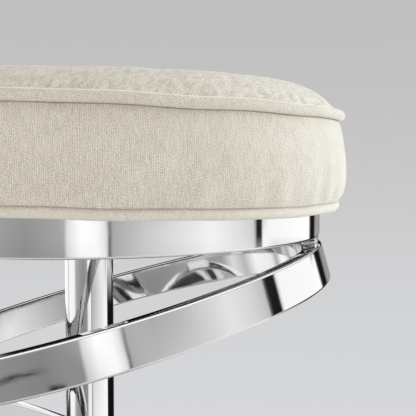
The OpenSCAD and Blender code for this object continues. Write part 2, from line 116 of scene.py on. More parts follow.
class CushionSizes(bpy.types.PropertyGroup):
    board_radius: length("Board radius", "Radius of the plywood seat board", 0.201)
    boxing_height: length("Boxing height", "Height from the board's underside to the top welt", 0.064)
    boxing_swell: length("Boxing swell", "How far the boxing swells between its seams", 0.0071)
    bottom_seam_out: length("Bottom seam", "How far the bottom seam lies beyond the board", 0.0024)
    crown_height: length("Crown height", "Height of the crown above the top welt", 0.0268)
    crown_dome: length("Crown dome", "Part of the crown that is a gentle dome", 0.0012)
    top_seam_lift: length(
        "Top seam lift", "How far the filled foam pushes the top seam up, away from the low side", 0.0038
    )
    bottom_seam_lift: length("Bottom seam lift", "How far the bottom seam is drawn up, away from the low side", 0.002)
    seam_dip: length("Seam dip", "How far both seams sag towards the low side, +X", 0.0063)
    cord_drop: length("Cord drop", "Distance of the bottom cord below its seam", 0.0035)
    welt_thickness: length("Welt thickness", "Thickness of the covered cords", 0.0081)
    top_welt_out: length("Top welt", "Distance of the top cord outside the board's edge", 0.0044)
    bottom_welt_out: length("Bottom welt", "Distance of the bottom cord outside the board's edge", 0.0002)
    cloth_thickness: length("Cloth thickness", "Thickness of the cover cloth", 0.0012)
    turn_under: length("Turn under", "How far the boxing is turned in under the board", 0.026)
    voxel: length("Voxel", "Grid size of the drum while it is inflated", 0.006)
    pressure: FloatProperty(name="Pressure", description="Air pressure that fills the drum", default=4.0)
    reach: length("Reach", "Most that the cloth may move while it fills", 0.008)
    pucker: length("Pucker", "Depth of the small puckers beside a seam", 0.0009)
    steps: IntProperty(name="Steps", description="Divisions round the seat", default=720)


class ClothLook(bpy.types.PropertyGroup):
    yarn: tint("Yarn", "Colour of the chenille pile", "#F6F1E8")
    ground: tint("Ground", "Colour between the yarns", "#A69E92")
    thread_spacing: length("Thread spacing", "Distance between two upright yarns of the chenille", 0.0013)
    sheen: FloatProperty(name="Sheen", description="Soft light on the pile's edges", default=0.25, subtype="FACTOR")


class MetalLook(bpy.types.PropertyGroup):
    chrome: tint("Chrome", "Colour of the chrome plate", "#E6E6E6")
    chrome_roughness: FloatProperty(
        name="Chrome roughness", description="Softness of the chrome's reflections", default=0.045, subtype="FACTOR"
    )


class StudioLook(bpy.types.PropertyGroup):
    floor: tint("Floor", "Colour of the floor", "#E2E2E3")
    fill: FloatProperty(name="Fill", description="Strength of the even light from all sides", default=0.87)
    key: FloatProperty(name="Key", description="Power of the large lamp at the right", default=24.0, unit="POWER")
    cards: FloatProperty(name="Cards", description="Strength of the studio that the chrome mirrors", default=1.27)
    lens: FloatProperty(name="Lens", description="Focal length in millimetres", default=75.77)
    camera_place: FloatVectorProperty(
        name="Camera",
        description="Place of the camera above the seat hoop's lower edge",
        subtype="TRANSLATION",
        default=(0.17079, -0.71062, 0.06726),
    )
    camera_turn: angle("Camera turn", "Turn of the camera round the upright", 0.1)
    camera_dip: angle("Camera dip", "How far the camera looks down", 0.0653)


# Nodes and materials


def add(tree, kind, inputs=(), stops=(), **settings):
    """Adds one node with its settings and gives its outputs.

    Its inputs come by name, or in the order in which the node shows them: another node's output is linked, a hex
    colour is made linear and any other value is set. Stops are the places and hex colours of a colour ramp.
    """
    node = tree.nodes.new(kind)
    for name, value in settings.items():
        setattr(node, name, value)
    for name, value in inputs.items() if isinstance(inputs, dict) else enumerate(inputs):
        if isinstance(value, bpy.types.NodeSocket):
            tree.links.new(value, node.inputs[name])
        else:
            node.inputs[name].default_value = linear(value) if isinstance(value, str) else value
    if stops:
        elements = node.color_ramp.elements
        while len(elements) < len(stops):
            elements.new(1.0)
        for element, (place, _) in zip(elements, stops):
            element.position = place
        for element, (_, colour) in zip(elements, stops):
            element.color = linear(colour)
    return node.outputs


def new_material(name):
    """An empty material of that name, and its node tree."""
    material = bpy.data.materials.new(name)
    material.use_nodes = True
    material.node_tree.nodes.clear()
    return material, material.node_tree


def surfaced(material, surface):
    """Ends a material with the inputs of its principled shader."""
    shader = add(material.node_tree, "ShaderNodeBsdfPrincipled", surface)
    add(material.node_tree, "ShaderNodeOutputMaterial", {"Surface": shader[0]})
    return material


# Materials of the metal, plastic and wooden parts


def polished_chrome(name, look, wave_mm):
    """Chrome plate over drawn steel tube, buffed: a mirror with faint waves from the tube wall and wipe marks."""
    material, tree = new_material(name)
    place = add(tree, "ShaderNodeTexCoord")["Object"]
    # Wipe marks are a few tenths of a millimetre wide and are drawn about 3 mm wide, so that they show.
    smear = {"Vector": place, "Scale": 1 / (3 * MM), "Detail": 4.0, "Roughness": 0.65}
    patch = {"Vector": place, "Scale": 1 / (45 * MM), "Detail": 2.0}
    marks = [add(tree, "ShaderNodeTexNoise", inputs)[0] for inputs in (smear, patch)]
    both = add(tree, "ShaderNodeMath", marks, operation="MULTIPLY")[0]
    soft = look.chrome_roughness
    rough = add(tree, "ShaderNodeMapRange", (both, 0.1, 0.5, soft * 0.5, soft * 1.9))[0]
    # The wall of a rolled tube is never quite flat: waves of a few hundredths of a millimetre.
    wall = add(tree, "ShaderNodeTexNoise", {"Vector": place, "Scale": 1 / (wave_mm * MM), "Detail": 1.0})[0]
    bump = add(tree, "ShaderNodeBump", {"Height": wall, "Strength": 1.0, "Distance": 0.05 * MM})[0]
    chrome = (*look.chrome, 1.0)
    return surfaced(material, {"Metallic": 1.0, "Base Color": chrome, "Roughness": rough, "Normal": bump})


def zinc_plate(name, colour, grain_mm, rough):
    """Bright zinc over pressed steel: a dull silver with a fine rolled grain and cloudy passivation."""
    material, tree = new_material(name)
    place = add(tree, "ShaderNodeTexCoord")["Object"]
    rolled = add(tree, "ShaderNodeMapping", {"Vector": place, "Scale": (1.0, 6.0, 1.0)})[0]
    grain, cloud = (
        add(tree, "ShaderNodeTexNoise", {"Vector": vector, "Scale": 1 / (size * MM), "Detail": 3.0})[0]
        for vector, size in ((rolled, grain_mm), (place, 18))
    )
    zinc = add(tree, "ShaderNodeMix", {"Factor": cloud, 6: colour, 7: "#B4B1A6"}, data_type="RGBA")[2]
    dull = add(tree, "ShaderNodeMapRange", (grain, 0, 1, rough - 0.08, rough + 0.12))[0]
    bump = add(tree, "ShaderNodeBump", {"Height": grain, "Strength": 0.4, "Distance": 0.03 * MM})[0]
    return surfaced(material, {"Metallic": 1.0, "Base Color": zinc, "Roughness": dull, "Normal": bump})


def powder_coat(name, colour, dusty):
    """Black powder coat, baked on: satin, dusty in patches, with the fine dimples of orange peel."""
    material, tree = new_material(name)
    place = add(tree, "ShaderNodeTexCoord")["Object"]
    peel = add(tree, "ShaderNodeTexVoronoi", {"Vector": place, "Scale": 1 / (1.3 * MM)}, feature="SMOOTH_F1")[0]
    dust = add(tree, "ShaderNodeTexNoise", {"Vector": place, "Scale": 1 / (14 * MM), "Detail": 4.0})[0]
    coat = add(tree, "ShaderNodeValToRGB", (dust,), stops=((0.3, colour), (0.75, dusty)))[0]
    rough = add(tree, "ShaderNodeMapRange", (dust, 0, 1, 0.42, 0.62))[0]
    bump = add(tree, "ShaderNodeBump", {"Height": peel, "Strength": 0.35, "Distance": 0.08 * MM})[0]
    return surfaced(material, {"Base Color": coat, "Roughness": rough, "Normal": bump})


def moulded_nylon(name):
    """Black nylon, injection moulded: half matt, a little lighter where it has rubbed on the floor."""
    material, tree = new_material(name)
    place = add(tree, "ShaderNodeTexCoord")["Object"]
    scuff = add(tree, "ShaderNodeTexNoise", {"Vector": place, "Scale": 1 / (1.5 * MM), "Detail": 5.0})[0]
    height = add(tree, "ShaderNodeSeparateXYZ", (place,))["Z"]
    low = add(tree, "ShaderNodeMapRange", (height, 0.0, 2.5 * MM, 1.0, 0.0))[0]
    worn = add(tree, "ShaderNodeMath", (scuff, low), operation="MULTIPLY")[0]
    nylon = add(tree, "ShaderNodeValToRGB", (worn,), stops=((0.1, "#1C1C1E"), (0.6, "#4A4A4C")))[0]
    rough = add(tree, "ShaderNodeMapRange", (scuff, 0, 1, 0.38, 0.6))[0]
    bump = add(tree, "ShaderNodeBump", {"Height": scuff, "Strength": 0.3, "Distance": 0.05 * MM})[0]
    return surfaced(material, {"Base Color": nylon, "IOR": 1.53, "Roughness": rough, "Normal": bump})


def birch_plywood(name):
    """Sanded birch plywood: pale long grain on its faces and light and dark plies round its edge."""
    material, tree = new_material(name)
    place = add(tree, "ShaderNodeTexCoord")["Object"]
    along = add(tree, "ShaderNodeMapping", {"Vector": place, "Scale": (0.06, 1.0, 1.0)})[0]
    rings, pores = (
        add(tree, "ShaderNodeTexNoise", {"Vector": along, "Scale": 1 / size, "Detail": detail, "Distortion": bend})[0]
        for size, detail, bend in ((7 * MM, 5.0, 0.6), (0.9 * MM, 2.0, 0.0))
    )
    grain = ((0.3, "#C9AC7E"), (0.5, "#D8BF95"), (0.7, "#E2CCA6"))
    face = add(tree, "ShaderNodeValToRGB", (rings,), stops=grain)[0]
    # Plies are about 1.35 mm thick, nine in this board, and a light and a dark one make one wave.
    height = add(tree, "ShaderNodeSeparateXYZ", (place,))["Z"]
    turns = add(tree, "ShaderNodeMath", (height, math.pi / (1.35 * MM)), operation="MULTIPLY")[0]
    ply = add(tree, "ShaderNodeMath", (turns,), operation="SINE")[0]
    edge = add(tree, "ShaderNodeValToRGB", (ply,), stops=((0.0, "#A98656"), (0.35, "#CDB084")))[0]
    up = add(tree, "ShaderNodeSeparateXYZ", (add(tree, "ShaderNodeNewGeometry")["Normal"],))["Z"]
    flat = add(tree, "ShaderNodeMath", (up,), operation="ABSOLUTE")[0]
    wood = add(tree, "ShaderNodeMix", {"Factor": flat, 6: edge, 7: face}, data_type="RGBA")[2]
    bump = add(tree, "ShaderNodeBump", {"Height": pores, "Strength": 0.4, "Distance": 0.08 * MM})[0]
    return surfaced(material, {"Base Color": wood, "Roughness": 0.62, "Normal": bump})


# Materials of the soft parts

# Millimetres from the post to the boxing, and from a cord's middle to its skin.
BOXING_OUT = 205.0
CORD_SKIN = 4.1


def turn_and_height(tree):
    """The turn round the post, in radians, and the height, in metres."""
    x, y, z = add(tree, "ShaderNodeSeparateXYZ", (add(tree, "ShaderNodeTexCoord")["Object"],))
    return add(tree, "ShaderNodeMath", (y, x), operation="ARCTAN2")[0], z


def chenille(tree, look, across, along, *, upright, twill, mottle, grain, bump_mm, tuft_mm=0.7):
    """A woven chenille, from its across and along distances in mm and the strength of its four layers.

    Upright pile yarns of uneven thickness, a fine diagonal twill that shows in patches, and a nap that lies this
    way and that. The result is the inputs of the cloth's principled shader.
    """
    spacing = look.thread_spacing * 1000
    flat = add(tree, "ShaderNodeCombineXYZ", (across, along))[0]
    long_yarn = add(tree, "ShaderNodeMapping", {"Vector": flat, "Scale": (1.0, 0.16, 1.0)})[0]
    nap_and_painted_light = {"Vector": flat, "Rotation": (0, 0, math.radians(38)), "Scale": (1.0, 0.4, 1.0)}
    nap_and_painted_light = add(tree, "ShaderNodeMapping", nap_and_painted_light)[0]
    # Each yarn is about 1.3 mm wide, and thick or thin for some 9 mm of its length. Tufts of the pile are about
    # 0.7 mm; the welts' brushed ones clot together and are coarser.
    slub, wander, cloud, tuft, nap = (
        add(
            tree,
            "ShaderNodeTexNoise",
            {"Vector": vector, "Scale": 1 / size, "Detail": detail, "Roughness": rough, "Distortion": bend},
        )[0]
        for vector, size, detail, rough, bend in (
            (long_yarn, spacing * 1.1, 2.0, 0.7, 0.0),
            (flat, 14.0, 2.0, 0.5, 0.0),
            (flat, 30.0, 2.0, 0.5, 0.0),
            (flat, tuft_mm, 1.0, 0.8, 0.0),
            (nap_and_painted_light, 3.6, 3.0, 0.6, 0.4),
        )
    )
    shifted = add(tree, "ShaderNodeMath", (wander, spacing * 2.0, across), operation="MULTIPLY_ADD")[0]
    slant = add(tree, "ShaderNodeMath", (along, 1.1, shifted), operation="MULTIPLY_ADD")[0]
    rows = []
    for value, period in ((shifted, spacing), (slant, spacing * 1.35)):
        turns = add(tree, "ShaderNodeMath", (value, FULL_TURN / period), operation="MULTIPLY")[0]
        rows.append(add(tree, "ShaderNodeMath", (turns,), operation="SINE")[0])
    yarn, rib = rows
    patches = add(tree, "ShaderNodeMapRange", (cloud, 0.4, 0.6), interpolation_type="SMOOTHSTEP")[0]
    rib = add(tree, "ShaderNodeMath", (rib, patches), operation="MULTIPLY")[0]
    # Each layer lies round its own middle value, so that the layers together lie round 0.
    layers = (
        (slub, 0.5, 0.6 * upright),
        (yarn, 0.0, 0.13 * upright),
        (rib, 0.0, 0.17 * twill),
        (tuft, 0.5, grain),
        (nap, 0.5, 0.9 * mottle),
        (cloud, 0.5, 0.2),
    )
    total = -sum(centre * weight for _, centre, weight in layers)
    for value, _, weight in layers:
        total = add(tree, "ShaderNodeMath", (value, weight, total), operation="MULTIPLY_ADD")[0]
    share = add(tree, "ShaderNodeMapRange", (total, -0.5, 0.5))[0]
    colours = {"Factor": share, 6: (*look.ground, 1.0), 7: (*look.yarn, 1.0)}
    return {
        "Base Color": add(tree, "ShaderNodeMix", colours, data_type="RGBA")[2],
        "Roughness": 0.92,
        "Specular IOR Level": 0.2,
        "Sheen Weight": look.sheen,
        "Sheen Roughness": 0.45,
        "Normal": add(tree, "ShaderNodeBump", {"Height": total, "Strength": 0.5, "Distance": bump_mm * MM})[0],
    }


def boxing_cloth(name, look):
    """Cream chenille with its yarns upright, as on the boxing, darkened beside its seams with painted shade."""
    material, tree = new_material(name)
    across, up = (
        add(tree, "ShaderNodeMath", (value, scale), operation="MULTIPLY")[0]
        for value, scale in zip(turn_and_height(tree), (BOXING_OUT, 1000.0))
    )
    layers = {"upright": 1.0, "twill": 1.0, "mottle": 0.2, "grain": 2.2, "bump_mm": 0.25}
    cloth = chenille(tree, look, across, up, **layers)
    # Painted shade: the stitched crease beside a welt is about half a millimetre wide, and the cloth's colour is
    # darkened there to stand in for the shade that falls in it.
    near = add(tree, "ShaderNodeAttribute", attribute_name="from_seam")["Fac"]
    crease = add(tree, "ShaderNodeMapRange", (near, 0.8, 0.15, 0.0, 0.25), interpolation_type="SMOOTHSTEP")[0]
    painted_shade = {"Factor": crease, 6: cloth["Base Color"], 7: "#8A7E71"}
    cloth["Base Color"] = add(tree, "ShaderNodeMix", painted_shade, data_type="RGBA")[2]
    return surfaced(material, cloth)


def panel_cloth(name, look):
    """The same chenille cut flat, with its nap brushed this way and that over the seat."""
    material, tree = new_material(name)
    place = add(tree, "ShaderNodeTexCoord")["Object"]
    turned = {"Vector": place, "Rotation": (0, 0, math.radians(18)), "Scale": (1000.0,) * 3}
    x, y, _ = add(tree, "ShaderNodeSeparateXYZ", (add(tree, "ShaderNodeMapping", turned)[0],))
    layers = {"upright": 0.5, "twill": 0.6, "mottle": 1.1, "grain": 2.2, "bump_mm": 0.35}
    return surfaced(material, chenille(tree, look, x, y, **layers))


def welt_cloth(name, look, radius, lit_angle, lit_reach, lit_share):
    """The same chenille cut on the bias, so that its yarns wind round the cord.

    Painted light: the pile is made paler at one angle round the cord, and less and less up to the given reach away
    from it. This is a painted highlight along the top cord's upper edge and painted bounce light under the bottom
    cord.
    """
    material, tree = new_material(name)
    over = add(tree, "ShaderNodeAttribute", attribute_name="round_cord")["Fac"]
    turn, _ = turn_and_height(tree)
    across = add(tree, "ShaderNodeMath", (turn, radius * 1000), operation="MULTIPLY")[0]
    wound, along = (
        add(tree, "ShaderNodeMath", (over, skin, across), operation="MULTIPLY_ADD")[0]
        for skin in (CORD_SKIN, -CORD_SKIN)
    )
    layers = {"upright": 0.6, "twill": 0.6, "mottle": 0.5, "grain": 3.0, "bump_mm": 0.25, "tuft_mm": 0.85}
    cloth = chenille(tree, look, wound, along, **layers)
    offset = add(tree, "ShaderNodeMath", (over, lit_angle), operation="SUBTRACT")[0]
    away = add(tree, "ShaderNodeMath", (offset,), operation="ABSOLUTE")[0]
    reach = (away, lit_reach, lit_reach * 0.36, 0.0, lit_share)
    painted_light = add(tree, "ShaderNodeMapRange", reach, interpolation_type="SMOOTHSTEP")[0]
    # F2F0E6 is the colour of the painted highlight and painted bounce light on the pile.
    nap_and_painted_light = {"Factor": painted_light, 6: cloth["Base Color"], 7: "#F2F0E6"}
    cloth["Base Color"] = add(tree, "ShaderNodeMix", nap_and_painted_light, data_type="RGBA")[2]
    return surfaced(material, cloth)


def cut_foam(name):
    """Sliced polyurethane foam: pale yellow with open cells about half a millimetre across."""
    material, tree = new_material(name)
    place = add(tree, "ShaderNodeTexCoord")["Object"]
    cells = add(tree, "ShaderNodeTexVoronoi", {"Vector": place, "Scale": 1 / (1.2 * MM)})[0]
    foam = add(tree, "ShaderNodeValToRGB", (cells,), stops=((0.1, "#D9CF9E"), (0.6, "#F0E8BE")))[0]
    bump = add(tree, "ShaderNodeBump", {"Height": cells, "Strength": 0.6, "Distance": 0.4 * MM})[0]
    return surfaced(material, {"Base Color": foam, "Roughness": 0.95, "Normal": bump})


def dust_cloth(name):
    """Black spun-bonded dust cloth: flat grey-black fibres with small pressed bond points."""
    material, tree = new_material(name)
    place = add(tree, "ShaderNodeTexCoord")["Object"]
    bonds = add(tree, "ShaderNodeTexVoronoi", {"Vector": place, "Scale": 1 / (2.2 * MM), "Randomness": 0.25})[0]
    raised = add(tree, "ShaderNodeMath", (bonds, 0.5), operation="ADD")[0]
    fine = {"Vector": place, "Scale": 1 / (0.8 * MM), "Detail": 5.0, "Roughness": 0.75}
    fibre = add(tree, "ShaderNodeMath", (add(tree, "ShaderNodeTexNoise", fine)[0], raised), operation="MULTIPLY")[0]
    black = add(tree, "ShaderNodeValToRGB", (fibre,), stops=((0.2, "#131314"), (0.7, "#343436")))[0]
    bump = add(tree, "ShaderNodeBump", {"Height": fibre, "Strength": 0.6, "Distance": 0.15 * MM})[0]
    return surfaced(material, {"Base Color": black, "Roughness": 0.85, "Normal": bump})


def paint(node, material):
    """Gives a CAD node a better material in each of its slots."""
    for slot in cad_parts[node].material_slots:
        slot.material = material


# Mesh helpers


def new_object(name, mesh):
    """Puts a mesh into the scene as an object of that name."""
    piece = bpy.data.objects.new(name, mesh)
    bpy.context.scene.collection.objects.link(piece)
    return piece


def piece_from(name, points, faces, material, body):
    """A smooth piece that rides on a body."""
    mesh = bpy.data.meshes.new(name)
    mesh.from_pydata([tuple(p) for p in points], [], faces)
    mesh.validate()
    mesh.polygons.foreach_set("use_smooth", [True] * len(mesh.polygons))
    mesh.materials.append(material)
    mesh.update()
    piece = new_object(name, mesh)
    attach(piece, body)
    outward(piece)
    return piece


def points_of(mesh):
    """The points of a mesh as rows of x, y and z."""
    flat = np.zeros(len(mesh.vertices) * 3)
    mesh.vertices.foreach_get("co", flat)
    return flat.reshape(-1, 3)


def evaluated(piece):
    """The mesh that a piece's modifiers make."""
    depsgraph = bpy.context.evaluated_depsgraph_get()
    return bpy.data.meshes.new_from_object(piece.evaluated_get(depsgraph))


def mark(piece, name, values):
    """Keeps one value on each point of a piece."""
    piece.data.attributes.new(name, "FLOAT", "POINT").data.foreach_set("value", values)


def around(steps):
    """The angles of that many even steps round the post."""
    return np.linspace(0, FULL_TURN, steps, endpoint=False)


def on_ring(angles, radius, height):
    """One ring of points at a radius and height that may both vary with the angle."""
    return np.stack([radius * np.cos(angles), radius * np.sin(angles), np.broadcast_to(height, angles.shape)], 1)


def skin_between(count, steps, closed):
    """Faces between each ring and the next, and from the last to the first where the form is closed."""
    faces = []
    for i in range(count if closed else count - 1):
        j = (i + 1) % count
        for k in range(steps):
            n = (k + 1) % steps
            faces.append((i * steps + k, i * steps + n, j * steps + n, j * steps + k))
    return faces


def turned_loop(rings):
    """Points and faces of a closed form turned round the post, from a list of rings."""
    rings = np.array(rings)
    count, steps = rings.shape[:2]
    return rings.reshape(-1, 3), skin_between(count, steps, True)


def turned_shell(rings, start_z, end_z):
    """Points and faces of a form that closes at a pole on the axis at both ends of its profile."""
    rings = np.array(rings)
    count, steps = rings.shape[:2]
    faces = skin_between(count, steps, False)
    first, last = count * steps, count * steps + 1
    for k in range(steps):
        n = (k + 1) % steps
        faces += [(first, n, k), (last, first - steps + k, first - steps + n)]
    return np.vstack([rings.reshape(-1, 3), [(0, 0, start_z)], [(0, 0, end_z)]]), faces


def outward(piece):
    """Turns every face of a closed piece outwards."""
    work = bmesh.new()
    work.from_mesh(piece.data)
    bmesh.ops.recalc_face_normals(work, faces=work.faces)
    if work.calc_volume(signed=True) < 0:
        bmesh.ops.reverse_faces(work, faces=work.faces)
    work.to_mesh(piece.data)
    work.free()
    piece.data.update()


def settle_normals(piece):
    """Keeps a tube's flat faces flat in the shading, up to its rounded edges."""
    weighted = piece.modifiers.new("normals", "WEIGHTED_NORMAL")
    weighted.mode = "FACE_AREA"
    weighted.weight = 100
    weighted.thresh = 0.01
    mesh = evaluated(piece)
    piece.modifiers.clear()
    piece.data = mesh


def waves(angles, low, high, seed, count=14):
    """A smooth random value round the seat that closes on itself, made of waves from low to high turns."""
    dice = np.random.default_rng(seed)
    total = np.zeros_like(angles)
    for turns in dice.integers(low, high, count):
        total += dice.uniform(0.5, 1.0) * np.sin(turns * angles + dice.uniform(0, FULL_TURN))
    return total / math.sqrt(count / 2)


def fading(distance, over):
    """A share that falls from 1 as a distance grows."""
    return math.exp(-distance / over)


# The drum cushion


class Drum:
    """Sizes of the seat's profile, which follow from the cushion's sizes and the board's place."""

    def __init__(self, sizes):
        self.board_z = lowest("seat_board")
        self.board_r = sizes.board_radius
        self.cloth = sizes.cloth_thickness
        self.cord_r = sizes.welt_thickness / 2
        # The boxing and the panel lie 0.3 mm off the top cord, which they touch at these two places round it.
        self.clear = self.cord_r + 0.3 * MM
        boxing_at, panel_at = math.radians(255), math.radians(45)
        self.top_z = self.board_z + sizes.boxing_height
        self.top_r = self.board_r + sizes.top_welt_out
        self.low_z = self.board_z - self.cloth / 2
        self.low_r = self.board_r + sizes.bottom_seam_out
        self.low_cord_z = self.low_z - sizes.cord_drop
        self.low_cord_r = self.board_r + sizes.bottom_welt_out
        self.high_r = self.top_r + self.clear * math.cos(boxing_at)
        self.high_z = self.top_z + self.clear * math.sin(boxing_at)
        self.swell = sizes.boxing_swell
        self.crown_r = self.top_r - self.clear * math.sin(panel_at)
        self.crown_top_z = self.top_z + sizes.crown_height
        self.dome = sizes.crown_dome
        self.shoulder = self.crown_top_z - self.top_z - self.clear * math.cos(panel_at) - self.dome
        self.top_lift, self.low_lift, self.dip = sizes.top_seam_lift, sizes.bottom_seam_lift, sizes.seam_dip
        self.seam_r = self.top_r - self.clear
        self.tuck_r = self.seam_r - 6 * MM
        self.turn_r = self.board_r - sizes.turn_under

    def sag(self, angles, seed):
        """Height of a sewn seam above its even place: it dips towards +X and wanders a little all round."""
        # The three weights add up to 1 at +X and to almost 0 at -X.
        c = np.cos(angles)
        return -self.dip * c * (0.81 + 0.498 * c - 0.308 * c**2) + 0.3 * MM * waves(angles, 7, 19, seed)

    def top_seam(self, angles):
        """Height of the top seam above its even place."""
        return self.top_lift + self.sag(angles, 8)

    def low_seam(self, angles):
        """Height of the bottom seam above its even place."""
        return self.low_lift + self.sag(angles, 9)

    def side(self, share, less=0.0):
        """Radius and height of the boxing at a share from its bottom seam, with its swell made less."""
        # The foam has settled: the side is fullest low down, tucks in sharply at the bottom seam and leans in above.
        neck = share**20
        radius = self.low_r + (self.high_r - self.low_r) * neck
        radius += (self.swell - less) * np.sin(np.pi * (0.9 * share**0.57 * (1 - neck) + neck))
        return radius, self.low_z + (self.high_z - self.low_z) * share

    def crown(self, share, less=0.0, lift=0.0):
        """Height of the crown at a share of its radius, with its edge lifted by a seam that stands higher."""
        shoulder = self.shoulder - lift
        return self.crown_top_z - less * (1 - share**2) - self.dome * share**2 - shoulder * share**11


_filled = {}


def slack_drum(drum):
    """A closed skin with the drum's form, but with less swell and crown and a little slack here and there."""
    angles = around(180)
    slack = waves(angles, 5, 19, 11)
    rings = []
    for share in np.linspace(0, 1, 12):
        radius, height = drum.side(share, 4 * MM)
        rings.append(on_ring(angles, radius + 0.9 * MM * slack * math.sin(math.pi * share), height))
    for share in (1.0, 0.985, 0.96, 0.92, 0.85, 0.75, 0.62, 0.48, 0.34, 0.2, 0.08):
        height = drum.crown(share, 5 * MM) + 0.7 * MM * slack * (1 - share) * share * 4
        rings.append(on_ring(angles, drum.crown_r * share, height))
    points, faces = turned_shell(rings, drum.low_z, drum.crown(0.0, 5 * MM))
    mesh = bpy.data.meshes.new("slack_drum")
    mesh.from_pydata([tuple(p) for p in points], [], faces)
    skin = new_object("slack_drum", mesh)
    outward(skin)
    return skin


def filled_drum(sizes):
    """Inflates a slightly slack drum as cloth and returns how far its skin stands out of the even form.

    The result is two functions, of the angle and the share up the boxing, and of the angle and the share of the
    crown's radius. Both are zero on the seams, which stay sewn.
    """
    if _filled:
        return _filled["side"], _filled["top"]
    drum = Drum(sizes)
    skin = slack_drum(drum)
    inflate(skin, drum, sizes)
    tree = BVHTree.FromObject(skin, bpy.context.evaluated_depsgraph_get())

    many = 240
    angles = around(many)
    shares = np.linspace(0, 1, 25)

    def outwards(share, turn):
        """Radius of the skin at a share up the side."""
        direction = Vector((math.cos(turn), math.sin(turn), 0))
        hit = tree.ray_cast(Vector((0, 0, drum.side(share)[1])), direction)[0]
        return math.hypot(hit.x, hit.y) if hit else 0.0

    def downwards(share, turn):
        """Height of the skin at a share of the crown's radius."""
        # The last ray falls just inside the edge.
        radius = drum.crown_r * min(share, 0.99)
        start = Vector((radius * math.cos(turn), radius * math.sin(turn), drum.crown_top_z + 0.1))
        hit = tree.ray_cast(start, Vector((0, 0, -1)))[0]
        return hit.z if hit else 0.0

    # The foam evens the crown out, so that only a part of the skin's unevenness is left there.
    for name, measure, fade in (
        ("side", outwards, np.sin(np.pi * shares) ** 0.7),
        ("top", downwards, 0.3 * (1 - shares**6)),
    ):
        table = np.array([[measure(share, turn) for turn in angles] for share in shares])
        table = (table - table.mean(axis=1, keepdims=True)) * fade[:, None]
        _filled[name] = smooth_reader(table)
    bpy.data.objects.remove(skin)
    return _filled["side"], _filled["top"]


def smooth_reader(table):
    """A function that reads a table of shares by angles between its entries."""
    rows, many = table.shape

    def read(angles, share):
        column = np.asarray(angles) / FULL_TURN * many % many
        row = np.clip(np.full_like(angles, share) * (rows - 1), 0, rows - 1.001)
        c, r = np.floor(column).astype(int), np.floor(row).astype(int)
        u, v = column - c, row - r
        u = u * u * (3 - 2 * u)
        n = (c + 1) % many
        lower = table[r, c] * (1 - u) + table[r, n] * u
        upper = table[r + 1, c] * (1 - u) + table[r + 1, n] * u
        return lower * (1 - v) + upper * v

    return read


def inflate(skin, drum, sizes):
    """Fills a closed skin with air as cloth, with its seams and its underside held, and keeps the result."""
    remesh = skin.modifiers.new("grid", "REMESH")
    remesh.mode = "VOXEL"
    remesh.voxel_size = sizes.voxel
    mesh = evaluated(skin)
    skin.modifiers.clear()
    skin.data = mesh
    start = points_of(mesh)
    radius = np.hypot(start[:, 0], start[:, 1])
    # The skin is held close to its top seam and on its underside.
    seam = np.hypot(radius - drum.high_r, start[:, 2] - drum.top_z) < 6 * MM
    low = start[:, 2] < drum.low_z + 3 * MM
    held = skin.vertex_groups.new(name="held")
    held.add([int(i) for i in np.nonzero(seam | low)[0]], 1.0, "REPLACE")
    cloth = skin.modifiers.new("cloth", "CLOTH")
    for name, value in {
        "quality": 6,
        "mass": 0.35,
        "tension_stiffness": 18,
        "compression_stiffness": 18,
        "shear_stiffness": 8,
        "bending_stiffness": 1.2,
        "vertex_group_mass": held.name,
        "use_pressure": True,
        "uniform_pressure_force": sizes.pressure,
    }.items():
        setattr(cloth.settings, name, value)
    cloth.settings.effector_weights.gravity = 0
    cloth.collision_settings.use_collision = False
    cloth.point_cache.frame_start = 1
    cloth.point_cache.frame_end = last = 20
    scene = bpy.context.scene
    for number in range(1, last + 1):
        scene.frame_set(number)
    moved = evaluated(skin)
    skin.modifiers.clear()
    scene.frame_set(1)
    step = points_of(moved) - start
    distance = np.linalg.norm(step, axis=1, keepdims=True)
    step *= np.minimum(1.0, sizes.reach / np.maximum(distance, 1e-9))
    mesh.vertices.foreach_set("co", (start + step).ravel())
    mesh.update()


# A distance in mm that is well away from any seam
FAR = 9.0


